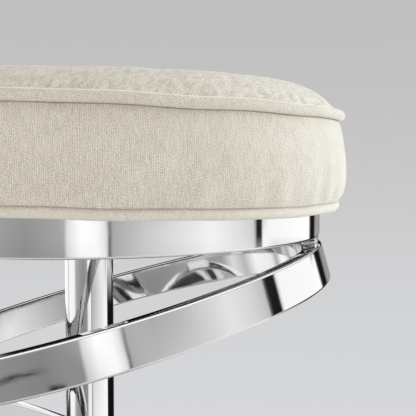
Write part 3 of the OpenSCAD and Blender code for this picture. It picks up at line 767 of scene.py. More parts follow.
def boxing_piece(sizes, material):
    """Side of the cover: swells between its seams, wraps under the top cord and is turned in under the board."""
    drum = Drum(sizes)
    side, _ = filled_drum(sizes)
    angles = around(sizes.steps)
    low_pucker, high_pucker = waves(angles, 34, 66, 3), waves(angles, 40, 90, 5)
    # The cover is slackest on its low side, towards +X.
    slack = 0.3 + 0.7 * np.clip(np.cos(angles), 0, 1)
    broad = waves(angles, 9, 23, 21)
    low_seam, top_seam = drum.low_seam(angles), drum.top_seam(angles)
    # The cloth is fuller than the board's edge, so it lies in small pleats between the staples.
    pleat = np.abs(np.sin(18 * angles)) ** 1.5 * (0.7 + 0.3 * waves(angles, 3, 11, 9))

    def on_side(share, inset=0.0):
        """A ring on the boxing, or as far inside it as the inset says."""
        from_low, from_high = share * sizes.boxing_height, (1 - share) * sizes.boxing_height
        near_low = fading(from_low, 19 * MM) * min(1, 12 * share)
        near_high = fading(from_high, 8 * MM) * min(1, 6 * (1 - share))
        out = side(angles, share) + 0.4 * MM * broad * math.sin(math.pi * share) ** 1.5
        out = out + sizes.pucker * slack * (low_pucker * near_low + 0.6 * high_pucker * near_high)
        radius, height = drum.side(share)
        return on_ring(angles, radius - inset + out, height + low_seam * (1 - share) + top_seam * share)

    # Each ring comes with its distance from the nearest seam, in mm.
    rings = []
    for share in np.linspace(0, 1, 7):
        radius = drum.turn_r + (drum.low_r - 0.6 * MM - drum.turn_r) * share
        drop = 0.8 * MM * pleat * math.sin(math.pi * min(1, share * 1.05)) * (1 - share)
        rings.append((FAR, on_ring(angles, radius, drum.board_z - drum.cloth - drop + low_seam * share**6)))
    shares = 0.5 - 0.5 * np.cos(np.linspace(0, np.pi, 34))
    for share in shares[:-1]:
        rings.append((min(share, 1 - share) * sizes.boxing_height / MM, on_side(share)))
    high = drum.top_z + top_seam
    for degrees in (243, 228, 212, 195, 180):
        turn = math.radians(degrees)
        radius, rise = drum.top_r + drum.clear * math.cos(turn), drum.clear * math.sin(turn)
        rings.append((0.0, on_ring(angles, radius, high + rise)))
    rings.append((FAR, on_ring(angles, drum.tuck_r, high)))
    rings.append((FAR, on_ring(angles, drum.tuck_r, high - drum.cloth)))
    for share in shares[1:-1:2][::-1]:
        if drum.board_z + 1 * MM <= drum.side(share)[1] <= drum.high_z - 2.5 * MM:
            rings.append((FAR, on_side(share, drum.cloth)))
    rings.append((FAR, on_ring(angles, drum.board_r + 0.3 * MM, drum.board_z + np.maximum(low_seam, 0))))
    rings.append((FAR, on_ring(angles, drum.turn_r, drum.board_z)))
    points, faces = turned_loop([ring for _, ring in rings])
    piece = piece_from("cover_boxing", points, faces, material, "seat")
    mark(piece, "from_seam", np.repeat([from_seam for from_seam, _ in rings], len(angles)))
    return piece


def panel_piece(sizes, material):
    """Crowned top of the cover, which rolls over at its edge and is sewn in behind the top cord."""
    drum = Drum(sizes)
    _, top = filled_drum(sizes)
    angles = around(sizes.steps * 2 // 3)
    pucker = waves(angles, 55, 118, 31)
    top_seam = drum.top_seam(angles)

    def lift(share):
        """Height of the uneven panel above its even form."""
        near = fading((1 - share) * drum.crown_r, 10 * MM) * min(1.0, (1 - share) * 40)
        return top(angles, share) + sizes.pucker * 0.6 * pucker * near

    shares = np.sin(np.linspace(0, np.pi / 2, 52))[1:]
    rings = [on_ring(angles, drum.crown_r * s, drum.crown(s, lift=top_seam) + lift(s)) for s in shares]
    # The edge lies just above the boxing's allowance, which is sewn to it.
    edge = 0.05 * MM
    for radius, rise in (
        (drum.seam_r, drum.cloth),
        (drum.seam_r, edge),
        (drum.tuck_r, edge),
        (drum.tuck_r, drum.cloth),
    ):
        rings.append(on_ring(angles, radius, drum.top_z + top_seam + rise))
    for s in shares[::-3]:
        if s < 0.99:
            under = drum.crown(s, lift=top_seam) - drum.cloth + lift(s)
            rings.append(on_ring(angles, (drum.tuck_r + drum.cloth) * s, under))
    peak = drum.crown_top_z + np.mean(lift(0.001))
    points, faces = turned_shell(rings, peak, drum.crown_top_z - drum.cloth)
    return piece_from("cover_top_panel", points, faces, material, "seat")


def foam_piece(sizes, material):
    """Foam core that fills the cover, with the cover's own swell."""
    drum = Drum(sizes)
    side, top = filled_drum(sizes)
    angles = around(240)
    inset = drum.cloth + 0.9 * MM
    low = lowest("seat_foam")
    first = (low - drum.low_z) / (drum.high_z - drum.low_z)
    top_seam = drum.top_seam(angles)
    rings = []
    for share in np.linspace(first, 0.9, 14):
        radius, height = drum.side(share)
        rise = top_seam * (share - first) / (1 - first)
        rings.append(on_ring(angles, radius - inset + side(angles, share), height + rise))
    edge = drum.tuck_r - 0.4 * MM
    for rise in (-inset, inset):
        rings.append(on_ring(angles, edge, drum.top_z + top_seam + rise))
    for share in (0.98, 0.95, 0.9, 0.82, 0.7, 0.5, 0.25, 0.08):
        height = drum.crown(share, lift=top_seam) - inset + top(angles, share)
        rings.append(on_ring(angles, edge * share, height))
    points, faces = turned_shell(rings, low, drum.crown_top_z - inset)
    return piece_from("foam_core", points, faces, material, "seat")


# Geometry Nodes: rings of one section


def start_group(name, **inputs):
    """Starts a Geometry Nodes tree with inputs of the given kinds, and gives the tree and its inputs."""
    tree = bpy.data.node_groups.new(name, "GeometryNodeTree")
    for label, kind in {**inputs, "Material": "Material"}.items():
        label = label.replace("_", " ")
        tree.interface.new_socket(label, in_out="INPUT", socket_type="NodeSocket" + kind)
    tree.interface.new_socket("Geometry", in_out="OUTPUT", socket_type="NodeSocketGeometry")
    return tree, add(tree, "NodeGroupInput")


def finish_group(tree, given, geometry):
    """Ends a Geometry Nodes tree: its result is smooth, real and of the given material."""
    for kind, inputs in (
        ("GeometryNodeSetShadeSmooth", {"Shade Smooth": True}),
        ("GeometryNodeRealizeInstances", {}),
        ("GeometryNodeSetMaterial", {"Material": given["Material"]}),
    ):
        geometry = add(tree, kind, {"Geometry": geometry, **inputs})[0]
    add(tree, "NodeGroupOutput", (geometry,))
    return tree


def run_tree(name, tree, values, body, path=()):
    """Runs a Geometry Nodes tree on a closed path or on nothing, and keeps its plain result as a piece."""
    start = bpy.data.meshes.new(name + "_start")
    if len(path):
        start.from_pydata([tuple(p) for p in path], [(i, (i + 1) % len(path)) for i in range(len(path))], [])
    holder = new_object(name, start)
    modifier = holder.modifiers.new("shape", "NODES")
    modifier.node_group = tree
    for item in tree.interface.items_tree:
        if item.in_out == "INPUT" and item.name in values:
            modifier[item.identifier] = values[item.name]
    mesh = evaluated(holder)
    if not len(mesh.polygons):
        raise RuntimeError(name + ": the node tree made no faces")
    holder.modifiers.remove(modifier)
    holder.data = mesh
    mesh.name = name
    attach(holder, body)
    outward(holder)
    return holder


def hoop_tree():
    """Rolled hoop of rectangular tube: its section is swept round a circle, then tipped, turned and placed."""
    lengths = dict.fromkeys(("Outer_radius", "Tube_width", "Tube_height", "Edge_radius", "Slope", "Turn"), "Float")
    tree, given = start_group("rolled_hoop", **lengths, Place="Vector", Steps="Int")
    half_width = add(tree, "ShaderNodeMath", (given["Tube width"], 0.5), operation="MULTIPLY")[0]
    centre_r = add(tree, "ShaderNodeMath", (given["Outer radius"], half_width), operation="SUBTRACT")[0]
    path = add(tree, "GeometryNodeCurvePrimitiveCircle", {"Resolution": given["Steps"], "Radius": centre_r})[0]
    size = {"Width": given["Tube width"], "Height": given["Tube height"]}
    section = add(tree, "GeometryNodeCurvePrimitiveQuadrilateral", size)[0]
    corners = {"Curve": section, "Radius": given["Edge radius"], "Count": 4, "Limit Radius": True}
    rounded = add(tree, "GeometryNodeFilletCurve", corners, mode="POLY")[0]
    sweep = {"Curve": path, "Profile Curve": rounded, "Fill Caps": False}
    level = add(tree, "GeometryNodeCurveToMesh", sweep)[0]
    tip = add(tree, "ShaderNodeMath", (given["Slope"], -1.0), operation="MULTIPLY")[0]
    turn = add(tree, "ShaderNodeCombineXYZ", {"Y": tip, "Z": given["Turn"]})[0]
    placing = {"Geometry": level, "Rotation": turn, "Translation": given["Place"]}
    return finish_group(tree, given, add(tree, "GeometryNodeTransform", placing)[0])


def welt_tree():
    """Covered cord: a round section swept along a seam, with the small lumps of a sewn bias strip."""
    tree, given = start_group(
        "covered_cord", Geometry="Geometry", Cord_radius="Float", Looseness="Float", Swell="Float", Seed="Float"
    )
    seam = add(tree, "GeometryNodeMeshToCurve", {"Mesh": given["Geometry"]})[0]
    place = add(tree, "GeometryNodeInputPosition")[0]
    # The strip is looser round the cord on the cushion's slack side, towards +X.
    flat = add(tree, "ShaderNodeVectorMath", (place, (1.0, 1.0, 0.0)), operation="MULTIPLY")[0]
    unit = add(tree, "ShaderNodeVectorMath", (flat,), operation="NORMALIZE")[0]
    side = add(tree, "ShaderNodeSeparateXYZ", (unit,))["X"]
    loose = add(tree, "ShaderNodeMapRange", (side, 0.5, 1.0), interpolation_type="SMOOTHSTEP")[0]
    fatter = add(tree, "ShaderNodeMath", (loose, given["Looseness"], 1.0), operation="MULTIPLY_ADD")[0]
    path = add(tree, "GeometryNodeSetCurveRadius", {"Curve": seam, "Radius": fatter})[0]
    round_section = {"Resolution": 24, "Radius": given["Cord radius"]}
    section = add(tree, "GeometryNodeCurvePrimitiveCircle", round_section)[0]
    sweep = {"Curve": path, "Profile Curve": section, "Fill Caps": False}
    cord = add(tree, "GeometryNodeCurveToMesh", sweep)[0]
    # The lumps are about 14 mm long.
    lumpy = {"Vector": place, "W": given["Seed"], "Scale": 70.0, "Detail": 2.0}
    lumps = add(tree, "ShaderNodeTexNoise", lumpy, noise_dimensions="4D")[0]
    centred = add(tree, "ShaderNodeMath", (lumps, 0.5), operation="SUBTRACT")[0]
    depth = add(tree, "ShaderNodeMath", (centred, given["Swell"]), operation="MULTIPLY")[0]
    normal = add(tree, "GeometryNodeInputNormal")[0]
    push = add(tree, "ShaderNodeVectorMath", {0: normal, "Scale": depth}, operation="SCALE")[0]
    return finish_group(tree, given, add(tree, "GeometryNodeSetPosition", {"Geometry": cord, "Offset": push})[0])


def mark_round(piece, path):
    """Keeps, on each point of a welt, its angle round the cord, from 0 outside over pi/2 on top."""
    points = points_of(piece.data)
    path_turn = np.arctan2(path[:, 1], path[:, 0])
    order = np.argsort(path_turn)
    turn = np.arctan2(points[:, 1], points[:, 0])
    height = np.interp(turn, path_turn[order], path[order, 2], period=FULL_TURN)
    out = np.hypot(points[:, 0], points[:, 1]) - math.hypot(*path[0, :2])
    mark(piece, "round_cord", np.arctan2(points[:, 2] - height, out))


# The hoops' slopes and directions, and the welds between them


def hoop_slopes(sizes):
    """Each hoop's slope and the direction of its high side."""
    return {
        "seat_ring": (0.0, 0.0),
        "upper_hoop": (sizes.side_slope, 0.0),
        "middle_hoop": (sizes.middle_slope, sizes.middle_turn),
        "lower_hoop": (sizes.side_slope, 0.0),
        "base_ring": (0.0, 0.0),
    }


def coved_welds(sizes, material):
    """Polished welds at the ends of the four saddles: hollow coves from the lower tube's face to the upper's."""
    hoops = {node: (middle(node), *slope) for node, slope in hoop_slopes(sizes).items()}

    def face_height(node, side, place):
        """Height of a hoop's upper (+1) or lower (-1) face over a place."""
        centre, slope, turn = hoops[node]
        out = (place - np.array(centre[:2])) @ np.array((math.cos(turn), math.sin(turn)))
        return centre[2] + out * math.tan(slope) + side * sizes.tube_height / 2 / math.cos(slope)

    def corner(slope, face_radius):
        """Distance from the hoop's own middle to a sloping face's upper corner, seen from above."""
        return face_radius * math.cos(slope) - sizes.tube_height / 2 * math.sin(slope)

    slope, steep = sizes.side_slope, sizes.middle_slope
    outer_r, width = sizes.outer_radius, sizes.tube_width
    shift = hoops["upper_hoop"][0][0]
    # The middle hoop and its neighbours come closest where both slopes, added as directions, point.
    level = math.tan(slope) - math.tan(steep) * math.cos(sizes.middle_turn)
    meet = math.pi + math.atan2(-math.tan(steep) * math.sin(sizes.middle_turn), level)
    # The coves stay this far back from both tubes' edges, and reach this far into the tubes and the saddle.
    set_back, hidden = 0.9 * MM, 0.3 * MM
    end = (corner(slope, outer_r) + shift - width * math.cos(slope) + set_back, outer_r - set_back)
    between = (corner(slope, outer_r - width) - shift + set_back, corner(steep, outer_r) - set_back)
    # Each cove's section is half a round, closed inside the saddle, and lies on 9 arcs round the post.
    arc = np.linspace(0.0, math.pi, 13)
    reach = np.concatenate([sizes.weld_reach * (1 - np.sin(arc)), [-hidden, -hidden]])
    share = np.concatenate([(1 - np.cos(arc)) / 2, [1.0, 0.0]])
    arcs, count = 9, len(share)
    points, faces = [], []
    for above, below, turn, (inner, outer) in (
        ("seat_ring", "upper_hoop", 0.0, end),
        ("upper_hoop", "middle_hoop", meet, between),
        ("middle_hoop", "lower_hoop", meet + math.pi, between),
        ("lower_hoop", "base_ring", math.pi, end),
    ):
        out = np.array((math.cos(turn), math.sin(turn)))
        along = np.array((-out[1], out[0]))
        for side in (-1.0, 1.0):
            first = len(points)
            for radius in np.linspace(outer, inner, arcs):
                for step, up in zip(reach, share):
                    y = sizes.saddle_length / 2 + step
                    x = math.sqrt(radius**2 - y * y)
                    place = out * x + along * y * side
                    low = face_height(below, 1, place) - hidden / 3
                    high = face_height(above, -1, place) + hidden / 3
                    points.append((*place, low + (high - low) * up))
            faces += [tuple(first + i for i in face) for face in skin_between(arcs, count, False)]
            for cap in (first, first + (arcs - 1) * count):
                faces.append(tuple(range(cap, cap + count)))
    piece = piece_from("polished_welds", points, faces, material, "base")
    settle_normals(piece)
    return piece


# The studio: a backdrop, an even light, and the white cards and dark flags that the chrome mirrors. Each level gives
# the height of a direction and, by degrees from the front towards +X, the sRGB grey of the card, flag or gap there.
# The same cards at the left and the right run through several levels; above eye level the right ones lie wider.
LEFT = {-180: 0x16, -157: 0x16, -154: 0xFA, -103: 0xF4, -101: 0x2E, -97: 0xF8, -62: 0xF2, -52: 0xA8}
LOW_LEFT = {-180: 0x82, -146: 0x3A, -142: 0x0E, -98: 0x0E, -94: 0xF4, -68: 0xF2, -58: 0xA0}
RIGHT = {95.4: 0xD0, 96.4: 0x24, 100.2: 0x1C, 101.2: 0xF4, 144.5: 0xFF}
RIGHT |= {146.5: 0x14, 154.2: 0x14, 156.5: 0x9A, 178: 0x82, 180: 0x16}
LOW_RIGHT = {104: 0xFA, 109: 0x0E, 166: 0x10, 170: 0x82}
WIDE = {94.6: 0xBE, 95.8: 0x20, 103.0: 0x14, 104.4: 0xF6, 144.0: 0xF8}
WIDE |= {146.0: 0x10, 157.0: 0x18, 159.0: 0x7E, 176: 0xA0, 180: 0x16}
LEVELS = {
    -0.32: {-180: 0x82, -150: 0x82, -142: 0xEE, -124: 0xF4, -118: 0xA8, -112: 0xE8, -96: 0xF2, -86: 0xB4}
    | {-76: 0xDA, -68: 0x9A, -30: 0x8A, 3: 0x88, 4: 0xC8, 10: 0xF0, 22: 0xDC, 24: 0xB4, 34: 0xE6}
    | LOW_RIGHT,
    -0.29: LOW_LEFT
    | {-30: 0x8A, -14: 0x80, -4: 0x88, 3.0: 0x88, 3.4: 0x66, 4.1: 0xC0, 8: 0xE6, 18: 0xF4, 22: 0xDC}
    | {22.5: 0x4A, 23.3: 0x4A, 23.9: 0xB4, 34: 0xE6}
    | LOW_RIGHT,
    -0.17: LEFT
    | {-30: 0x90, -14: 0x86, -4: 0x8E, 3.0: 0x8C, 3.4: 0x6E, 4.1: 0xCA, 9: 0xE6, 19: 0xF6, 22: 0xDC}
    | {22.5: 0x4A, 23.3: 0x4A, 23.9: 0xAC, 60: 0xD4, 90: 0xF2}
    | LOW_RIGHT,
    -0.10: LEFT
    | {-30: 0xA0, -14: 0x90, 3.4: 0xA6, 4.0: 0xDC, 7: 0xEE, 10: 0xFF, 17: 0xFA, 21.4: 0xDA, 21.9: 0x56}
    | {22.5: 0x5E, 23.0: 0xA4, 39: 0xCB, 70: 0xF4}
    | RIGHT,
    0.05: LEFT
    | {-30: 0xA6, 0: 0xA0, 4: 0xE0, 8: 0xFC, 19: 0xEF, 20.9: 0xDC, 21.4: 0x48, 22.0: 0x50, 22.6: 0xB6}
    | {35: 0xA3, 48: 0xBA, 72: 0xE3, 84: 0xD6}
    | WIDE,
}


def card_levels(tree, turn, z):
    """The cards and flags of all levels, each level running over into the next one up."""
    share = add(tree, "ShaderNodeMath", (turn, 1 / FULL_TURN, 0.5), operation="MULTIPLY_ADD")[0]
    bands = below = None
    for height, greys in LEVELS.items():
        stops = [((degrees + 180) / 360, "#" + 3 * f"{grey:02X}") for degrees, grey in greys.items()]
        level = add(tree, "ShaderNodeValToRGB", (share,), stops)[0]
        if bands is not None:
            up = add(tree, "ShaderNodeMapRange", (z, below, height))[0]
            level = add(tree, "ShaderNodeMix", {"Factor": up, 6: bands, 7: level}, data_type="RGBA")[2]
        bands, below = level, height
    return bands


def smudged(tree, bands, degrees, z):
    """Adds two torn dark flags low in front of the stool, to the left: their reflections are thin smudges."""
    slid = add(tree, "ShaderNodeMath", (degrees, -0.0039, z), operation="MULTIPLY_ADD")[0]
    flat = add(tree, "ShaderNodeCombineXYZ", (degrees, slid))[0]
    torn = add(tree, "ShaderNodeMapping", {"Vector": flat, "Scale": (0.07, 230.0, 1.0)})[0]
    wisp = add(tree, "ShaderNodeTexNoise", {"Vector": torn, "Scale": 1.0, "Detail": 3.0, "Roughness": 0.6})[0]
    # Middle and half width in degrees, height and thickness, where the tears begin and end, and darkness
    for middle_turn, half, height, thick, least, most, depth in (
        (-26.0, 17.0, -0.1775, 0.009, 0.36, 0.5, 0.85),
        (-9.5, 5.5, -0.207, 0.007, 0.1, 0.3, 1.0),
    ):
        dark = add(tree, "ShaderNodeMapRange", (wisp, least, most, 0.0, depth))[0]
        for value, centre, edge, core in (
            (slid, height, thick, thick * 0.1),
            (degrees, middle_turn, half, half * 0.3),
        ):
            offset = add(tree, "ShaderNodeMath", (value, centre), operation="SUBTRACT")[0]
            away = add(tree, "ShaderNodeMath", (offset,), operation="ABSOLUTE")[0]
            near = add(tree, "ShaderNodeMapRange", (away, edge, core), interpolation_type="SMOOTHSTEP")[0]
            dark = add(tree, "ShaderNodeMath", (dark, near), operation="MULTIPLY")[0]
        bands = add(tree, "ShaderNodeMix", {"Factor": dark, 6: bands, 7: "#1C1C1C"}, data_type="RGBA")[2]
    return bands


def mirrored_studio(tree, direction):
    """What the chrome mirrors in each direction."""
    x, y, z = add(tree, "ShaderNodeSeparateXYZ", (direction,))
    # Turn from -Y, where the camera stands, towards +X.
    front = add(tree, "ShaderNodeMath", (y, -1.0), operation="MULTIPLY")[0]
    turn = add(tree, "ShaderNodeMath", (x, front), operation="ARCTAN2")[0]
    degrees = add(tree, "ShaderNodeMath", (turn, 180 / math.pi), operation="MULTIPLY")[0]
    # How far each of these has begun, by the height of the direction.
    wall_share, roof_share, floor_share, narrower, black_share, strip_low, strip_high = (
        add(tree, "ShaderNodeMapRange", (z, none, full), interpolation_type=kind)[0]
        for none, full, kind in (
            (0.14, 0.2, "SMOOTHSTEP"),
            (0.4, 0.46, "LINEAR"),
            (-0.36, -0.5, "SMOOTHSTEP"),
            (0.12, 0.2, "SMOOTHSTEP"),
            (0.04, 0.06, "LINEAR"),
            (0.163, 0.17, "LINEAR"),
            (0.215, 0.205, "LINEAR"),
        )
    )
    # The wall in front is a blotchy grey above eye level; over it hangs a white roof.
    uneven = {"Vector": direction, "Scale": 1 / 0.07, "Detail": 4.0, "Roughness": 0.65, "Distortion": 0.6}
    blotch = add(tree, "ShaderNodeTexNoise", uneven)[0]
    greys = ((0.3, "#6E6E6E"), (0.42, "#989898"), (0.55, "#B4B4B4"), (0.7, "#D8D8D8"))
    wall = add(tree, "ShaderNodeValToRGB", (blotch,), greys)[0]
    # Behind the stool all is black above eye level, less and less wide up to the zenith, but for one pale strip.
    side = add(tree, "ShaderNodeMath", (degrees,), operation="ABSOLUTE")[0]
    side = add(tree, "ShaderNodeMath", (narrower, -24.0, side), operation="MULTIPLY_ADD")[0]
    rear = add(tree, "ShaderNodeMapRange", (side, 138.0, 142.0))[0]
    black = add(tree, "ShaderNodeMath", (rear, black_share), operation="MULTIPLY")[0]
    strip = add(tree, "ShaderNodeMath", (strip_low, strip_high), operation="MULTIPLY")[0]
    strip = add(tree, "ShaderNodeMath", (rear, strip), operation="MULTIPLY")[0]
    studio = smudged(tree, card_levels(tree, turn, z), degrees, z)
    for share, colour in (
        (wall_share, wall),
        (roof_share, "#FFFFFF"),
        (floor_share, "#C6C6C6"),
        (black, "#060606"),
        (strip, "#F4F4F4"),
    ):
        studio = add(tree, "ShaderNodeMix", {"Factor": share, 6: studio, 7: colour}, data_type="RGBA")[2]
    return studio


def pale_world(look):
    """Backdrop that gets paler downwards, even fill light, and the cards and flags that chrome mirrors."""
    world = bpy.data.worlds.new("pale_studio")
    world.use_nodes = True
    tree = world.node_tree
    tree.nodes.clear()
    direction = add(tree, "ShaderNodeTexCoord")["Generated"]
    z = add(tree, "ShaderNodeSeparateXYZ", (direction,))["Z"]
    greys = (
        (0.0, "#DBDBDD"),
        (0.154, "#D6D7DA"),
        (0.289, "#D2D3D5"),
        (0.430, "#CBCBCC"),
        (0.571, "#C4C3C4"),
        (0.709, "#C0BEBF"),
        (1.0, "#BBB9BA"),
    )
    backdrop = add(tree, "ShaderNodeValToRGB", (add(tree, "ShaderNodeMapRange", (z, -0.4, 0.4))[0],), greys)[0]
    # The even light is stronger from low cards than from overhead, and a little warm.
    even = add(tree, "ShaderNodeMapRange", (z, -0.5, 0.5, look.fill * 1.38, look.fill * 0.78))[0]
    lit, mirrored, shown = (
        add(tree, "ShaderNodeBackground", {"Color": colour, "Strength": strength})[0]
        for colour, strength in (
            ("#FFFCF6", even),
            (mirrored_studio(tree, direction), look.cards),
            (backdrop, 1.0),
        )
    )
    ray = add(tree, "ShaderNodeLightPath")
    glossy = add(tree, "ShaderNodeMixShader", (ray["Is Glossy Ray"], lit, mirrored))[0]
    final = add(tree, "ShaderNodeMixShader", (ray["Is Camera Ray"], glossy, shown))[0]
    add(tree, "ShaderNodeOutputWorld", {"Surface": final})
    return world


def matt_floor(look):
    """Matt pale paper that keeps the stool's shadow and fades out into the backdrop."""
    material, tree = new_material("matt_floor")
    paper = {"Base Color": (*look.floor, 1.0), "Roughness": 0.9, "Specular IOR Level": 0.1}
    paper = add(tree, "ShaderNodeBsdfPrincipled", paper)[0]
    place = add(tree, "ShaderNodeTexCoord")["Object"]
    away = add(tree, "ShaderNodeVectorMath", (place,), operation="LENGTH")["Value"]
    fade = add(tree, "ShaderNodeMapRange", (away, 0.45, 1.05), interpolation_type="SMOOTHSTEP")[0]
    clear = add(tree, "ShaderNodeBsdfTransparent")[0]
    faded = add(tree, "ShaderNodeMixShader", (fade, paper, clear))[0]
    add(tree, "ShaderNodeOutputMaterial", {"Surface": faded})
    return material


# Operators


class STOOL_OT_stage(bpy.types.Operator):
    """Set up the pale studio, its lamps and the camera"""

    bl_idname = "stool.stage"
    bl_label = "Studio"

    def execute(self, context):
        look = context.scene.stool_studio
        scene = context.scene
        scene.view_settings.view_transform = "Standard"
        scene.world = pale_world(look)

        work = bmesh.new()
        bmesh.ops.create_circle(work, cap_ends=True, radius=1.3, segments=96)
        mesh = bpy.data.meshes.new("studio_floor")
        work.to_mesh(mesh)
        work.free()
        mesh.materials.append(matt_floor(look))
        floor = new_object("studio_floor", mesh)
        floor.location.z = lowest("floor_glides") - 0.02 * MM

        for name, place, size, power, colour in (
            ("key_lamp", (1.65, 0.74, 0.95), 1.1, look.key, (0.88, 1.0, 1.06)),
            ("top_lamp", (0.2, -0.6, 2.2), 1.4, look.key * 0.2, (1.0, 1.0, 1.0)),
        ):
            data = bpy.data.lights.new(name, "AREA")
            data.shape = "DISK"
            data.size = size
            data.energy = power
            data.color = colour
            lamp = new_object(name, data)
            lamp.location = place
            aim = Vector((0, 0, 0.45)) - lamp.location
            lamp.rotation_euler = aim.to_track_quat("-Z", "Y").to_euler()
            # The chrome mirrors the studio's own bands instead of these two discs.
            lamp.visible_glossy = False

        data = bpy.data.cameras.new("camera")
        data.sensor_width = 36
        data.lens = look.lens
        camera = new_object("camera", data)
        camera.location = Vector(look.camera_place) + Vector((0, 0, lowest("seat_ring")))
        camera.rotation_euler = (math.pi / 2 - look.camera_dip, 0, look.camera_turn)
        scene.camera = camera
        return {"FINISHED"}


class STOOL_OT_hoops(bpy.types.Operator):
    """Make the five rolled and chromed hoops and finish the saddles between them"""

    bl_idname = "stool.hoops"
    bl_label = "Hoops"

    def execute(self, context):
        sizes = context.scene.stool_hoops
        chrome = polished_chrome("chromed_steel_tube", context.scene.stool_metal, wave_mm=26)
        tree = hoop_tree()
        for node, (slope, turn) in hoop_slopes(sizes).items():
            values = {
                "Outer radius": sizes.outer_radius,
                "Tube width": sizes.tube_width,
                "Tube height": sizes.tube_height,
                "Edge radius": sizes.edge_radius,
                "Slope": slope,
                "Turn": turn,
                "Place": middle(node),
                "Steps": 288,
                "Material": chrome,
            }
            piece = run_tree("chromed_" + node, tree, values, "base")
            settle_normals(piece)
            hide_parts(node)
        paint("hoop_saddles", chrome)
        coved_welds(sizes, chrome)
        return {"FINISHED"}


class STOOL_OT_post(bpy.types.Operator):
    """Finish the chromed post and the spun bell over its foot"""

    bl_idname = "stool.post"
    bl_label = "Post"

    def execute(self, context):
        chrome = polished_chrome("chromed_post_tube", context.scene.stool_metal, wave_mm=60)
        for node in ("centre_post", "foot_bell"):
            paint(node, chrome)
        return {"FINISHED"}


class STOOL_OT_fittings(bpy.types.Operator):
    """Finish the flanges, plates, swivel, screws and glides"""

    bl_idname = "stool.fittings"
    bl_label = "Fittings"

    def execute(self, context):
        pressed = zinc_plate("zinc_plated_steel", "#8F8F8C", grain_mm=0.6, rough=0.36)
        turned = zinc_plate("zinc_plated_fastener", "#A8A8A4", grain_mm=0.4, rough=0.28)
        hardened = zinc_plate("polished_ball_steel", "#C4C4C6", grain_mm=0.5, rough=0.12)
        wire = zinc_plate("galvanised_wire", "#B0B0AE", grain_mm=0.4, rough=0.3)
        black = powder_coat("black_powder_coat", "#2B2B2D", "#4A4A4A")
        for material, names in (
            (pressed, ("post_top_flange", "post_foot_flange", "support_lugs", "base_lugs")),
            (pressed, ("swivel_lower_plate", "swivel_upper_plate")),
            (turned, ("flange_bolts", "lug_screws", "lower_plate_bolts", "lower_plate_nuts")),
            (turned, ("pivot_nut", "seat_board_screws")),
            (hardened, ("swivel_balls", "pivot_pin")),
            (wire, ("cover_staples",)),
            (black, ("support_plate", "base_plate")),
            (moulded_nylon("moulded_nylon"), ("floor_glides",)),
            (birch_plywood("birch_plywood"), ("seat_board",)),
        ):
            for name in names:
                paint(name, material)
        return {"FINISHED"}


class STOOL_OT_cushion(bpy.types.Operator):
    """Fill the drum cushion and make its foam, its boxing and its crowned panel"""

    bl_idname = "stool.cushion"
    bl_label = "Cushion"

    def execute(self, context):
        sizes = context.scene.stool_cushion
        look = context.scene.stool_cloth
        foam = foam_piece(sizes, cut_foam("cut_foam"))
        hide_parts("seat_foam")
        boxing = boxing_piece(sizes, boxing_cloth("woven_chenille_side", look))
        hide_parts("boxing_band")
        panel = panel_piece(sizes, panel_cloth("woven_chenille_top", look))
        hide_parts("top_panel")
        return {"FINISHED"}


class STOOL_OT_welts(bpy.types.Operator):
    """Make the two covered cords in the seat's seams"""

    bl_idname = "stool.welts"
    bl_label = "Welts"

    def execute(self, context):
        sizes = context.scene.stool_cushion
        drum = Drum(sizes)
        tree = welt_tree()
        angles = around(480)
        # Each welt's radius, height and seed, and where, how far round and how much painted light makes its pile
        # paler: a painted highlight along the top one's upper edge, and painted bounce light over the bottom one's
        # whole lower face.
        for node, radius, height, seed, *pale in (
            ("top_welt", drum.top_r, drum.top_z + drum.top_seam(angles), 3.0, 1.34, 0.55, 0.85),
            ("bottom_welt", drum.low_cord_r, drum.low_cord_z + drum.low_seam(angles), 8.0, -0.5, 1.8, 0.24),
        ):
            path = on_ring(angles, radius, height)
            cloth = welt_cloth("bias_chenille_" + node, context.scene.stool_cloth, radius, *pale)
            values = {"Cord radius": drum.cord_r, "Looseness": 0.22, "Swell": 0.5 * MM}
            values |= {"Seed": seed, "Material": cloth}
            piece = run_tree("covered_" + node, tree, values, "seat", path)
            mark_round(piece, path)
            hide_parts(node)
        return {"FINISHED"}


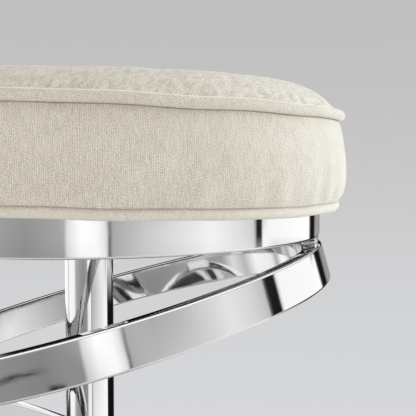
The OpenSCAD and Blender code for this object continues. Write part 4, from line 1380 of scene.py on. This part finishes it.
class STOOL_OT_underside(bpy.types.Operator):
    """Stretch the dust cloth under the board"""

    bl_idname = "stool.underside"
    bl_label = "Underside"

    def execute(self, context):
        low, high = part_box("dust_cover")
        outer = (high.x - low.x) / 2
        plate_low, plate_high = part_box("swivel_upper_plate")
        inner = (plate_high.x - plate_low.x) / 2 + 4 * MM
        angles = around(360)
        slack = waves(angles, 20, 50, 41)
        rings = []
        # The cloth's lower face from the hole to its edge, and its upper face back again.
        for depth, first, last in ((0.4 * MM, 0, 1), (0.05 * MM, 1, 0)):
            for share in np.linspace(first, last, 22):
                radius = inner + (outer - inner) * share
                sag = 0.5 * MM * math.sin(math.pi * share) * (1 + 0.35 * slack)
                rings.append(on_ring(angles, radius, high.z - depth - sag))
        points, faces = turned_loop(rings)
        piece = piece_from("dust_cloth", points, faces, dust_cloth("spun_dust_cloth"), "seat")
        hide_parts("dust_cover")
        return {"FINISHED"}


class STOOL_PT_panel(bpy.types.Panel):
    bl_label = "Counter stool"
    bl_idname = "STOOL_PT_panel"
    bl_space_type = "VIEW_3D"
    bl_region_type = "UI"
    bl_category = "Stool"

    def draw(self, context):
        for group in GROUPS:
            settings = getattr(context.scene, group)
            for name in settings.__annotations__:
                self.layout.prop(settings, name)
        for operator in OPERATORS:
            self.layout.operator(operator.bl_idname)


GROUPS = {
    "stool_studio": StudioLook,
    "stool_hoops": HoopSizes,
    "stool_metal": MetalLook,
    "stool_cushion": CushionSizes,
    "stool_cloth": ClothLook,
}
OPERATORS = (
    STOOL_OT_stage,
    STOOL_OT_hoops,
    STOOL_OT_post,
    STOOL_OT_fittings,
    STOOL_OT_cushion,
    STOOL_OT_welts,
    STOOL_OT_underside,
)


def register():
    for name, group in GROUPS.items():
        bpy.utils.register_class(group)
        setattr(bpy.types.Scene, name, PointerProperty(type=group))
    for operator in (*OPERATORS, STOOL_PT_panel):
        bpy.utils.register_class(operator)


def unregister():
    for operator in (STOOL_PT_panel, *reversed(OPERATORS)):
        bpy.utils.unregister_class(operator)
    for name, group in reversed(GROUPS.items()):
        delattr(bpy.types.Scene, name)
        bpy.utils.unregister_class(group)


def main():
    register()
    bpy.ops.stool.stage()
    bpy.ops.stool.hoops()
    bpy.ops.stool.post()
    bpy.ops.stool.fittings()
    bpy.ops.stool.cushion()
    bpy.ops.stool.welts()
    bpy.ops.stool.underside()


if __name__ == "__main__":
    main()
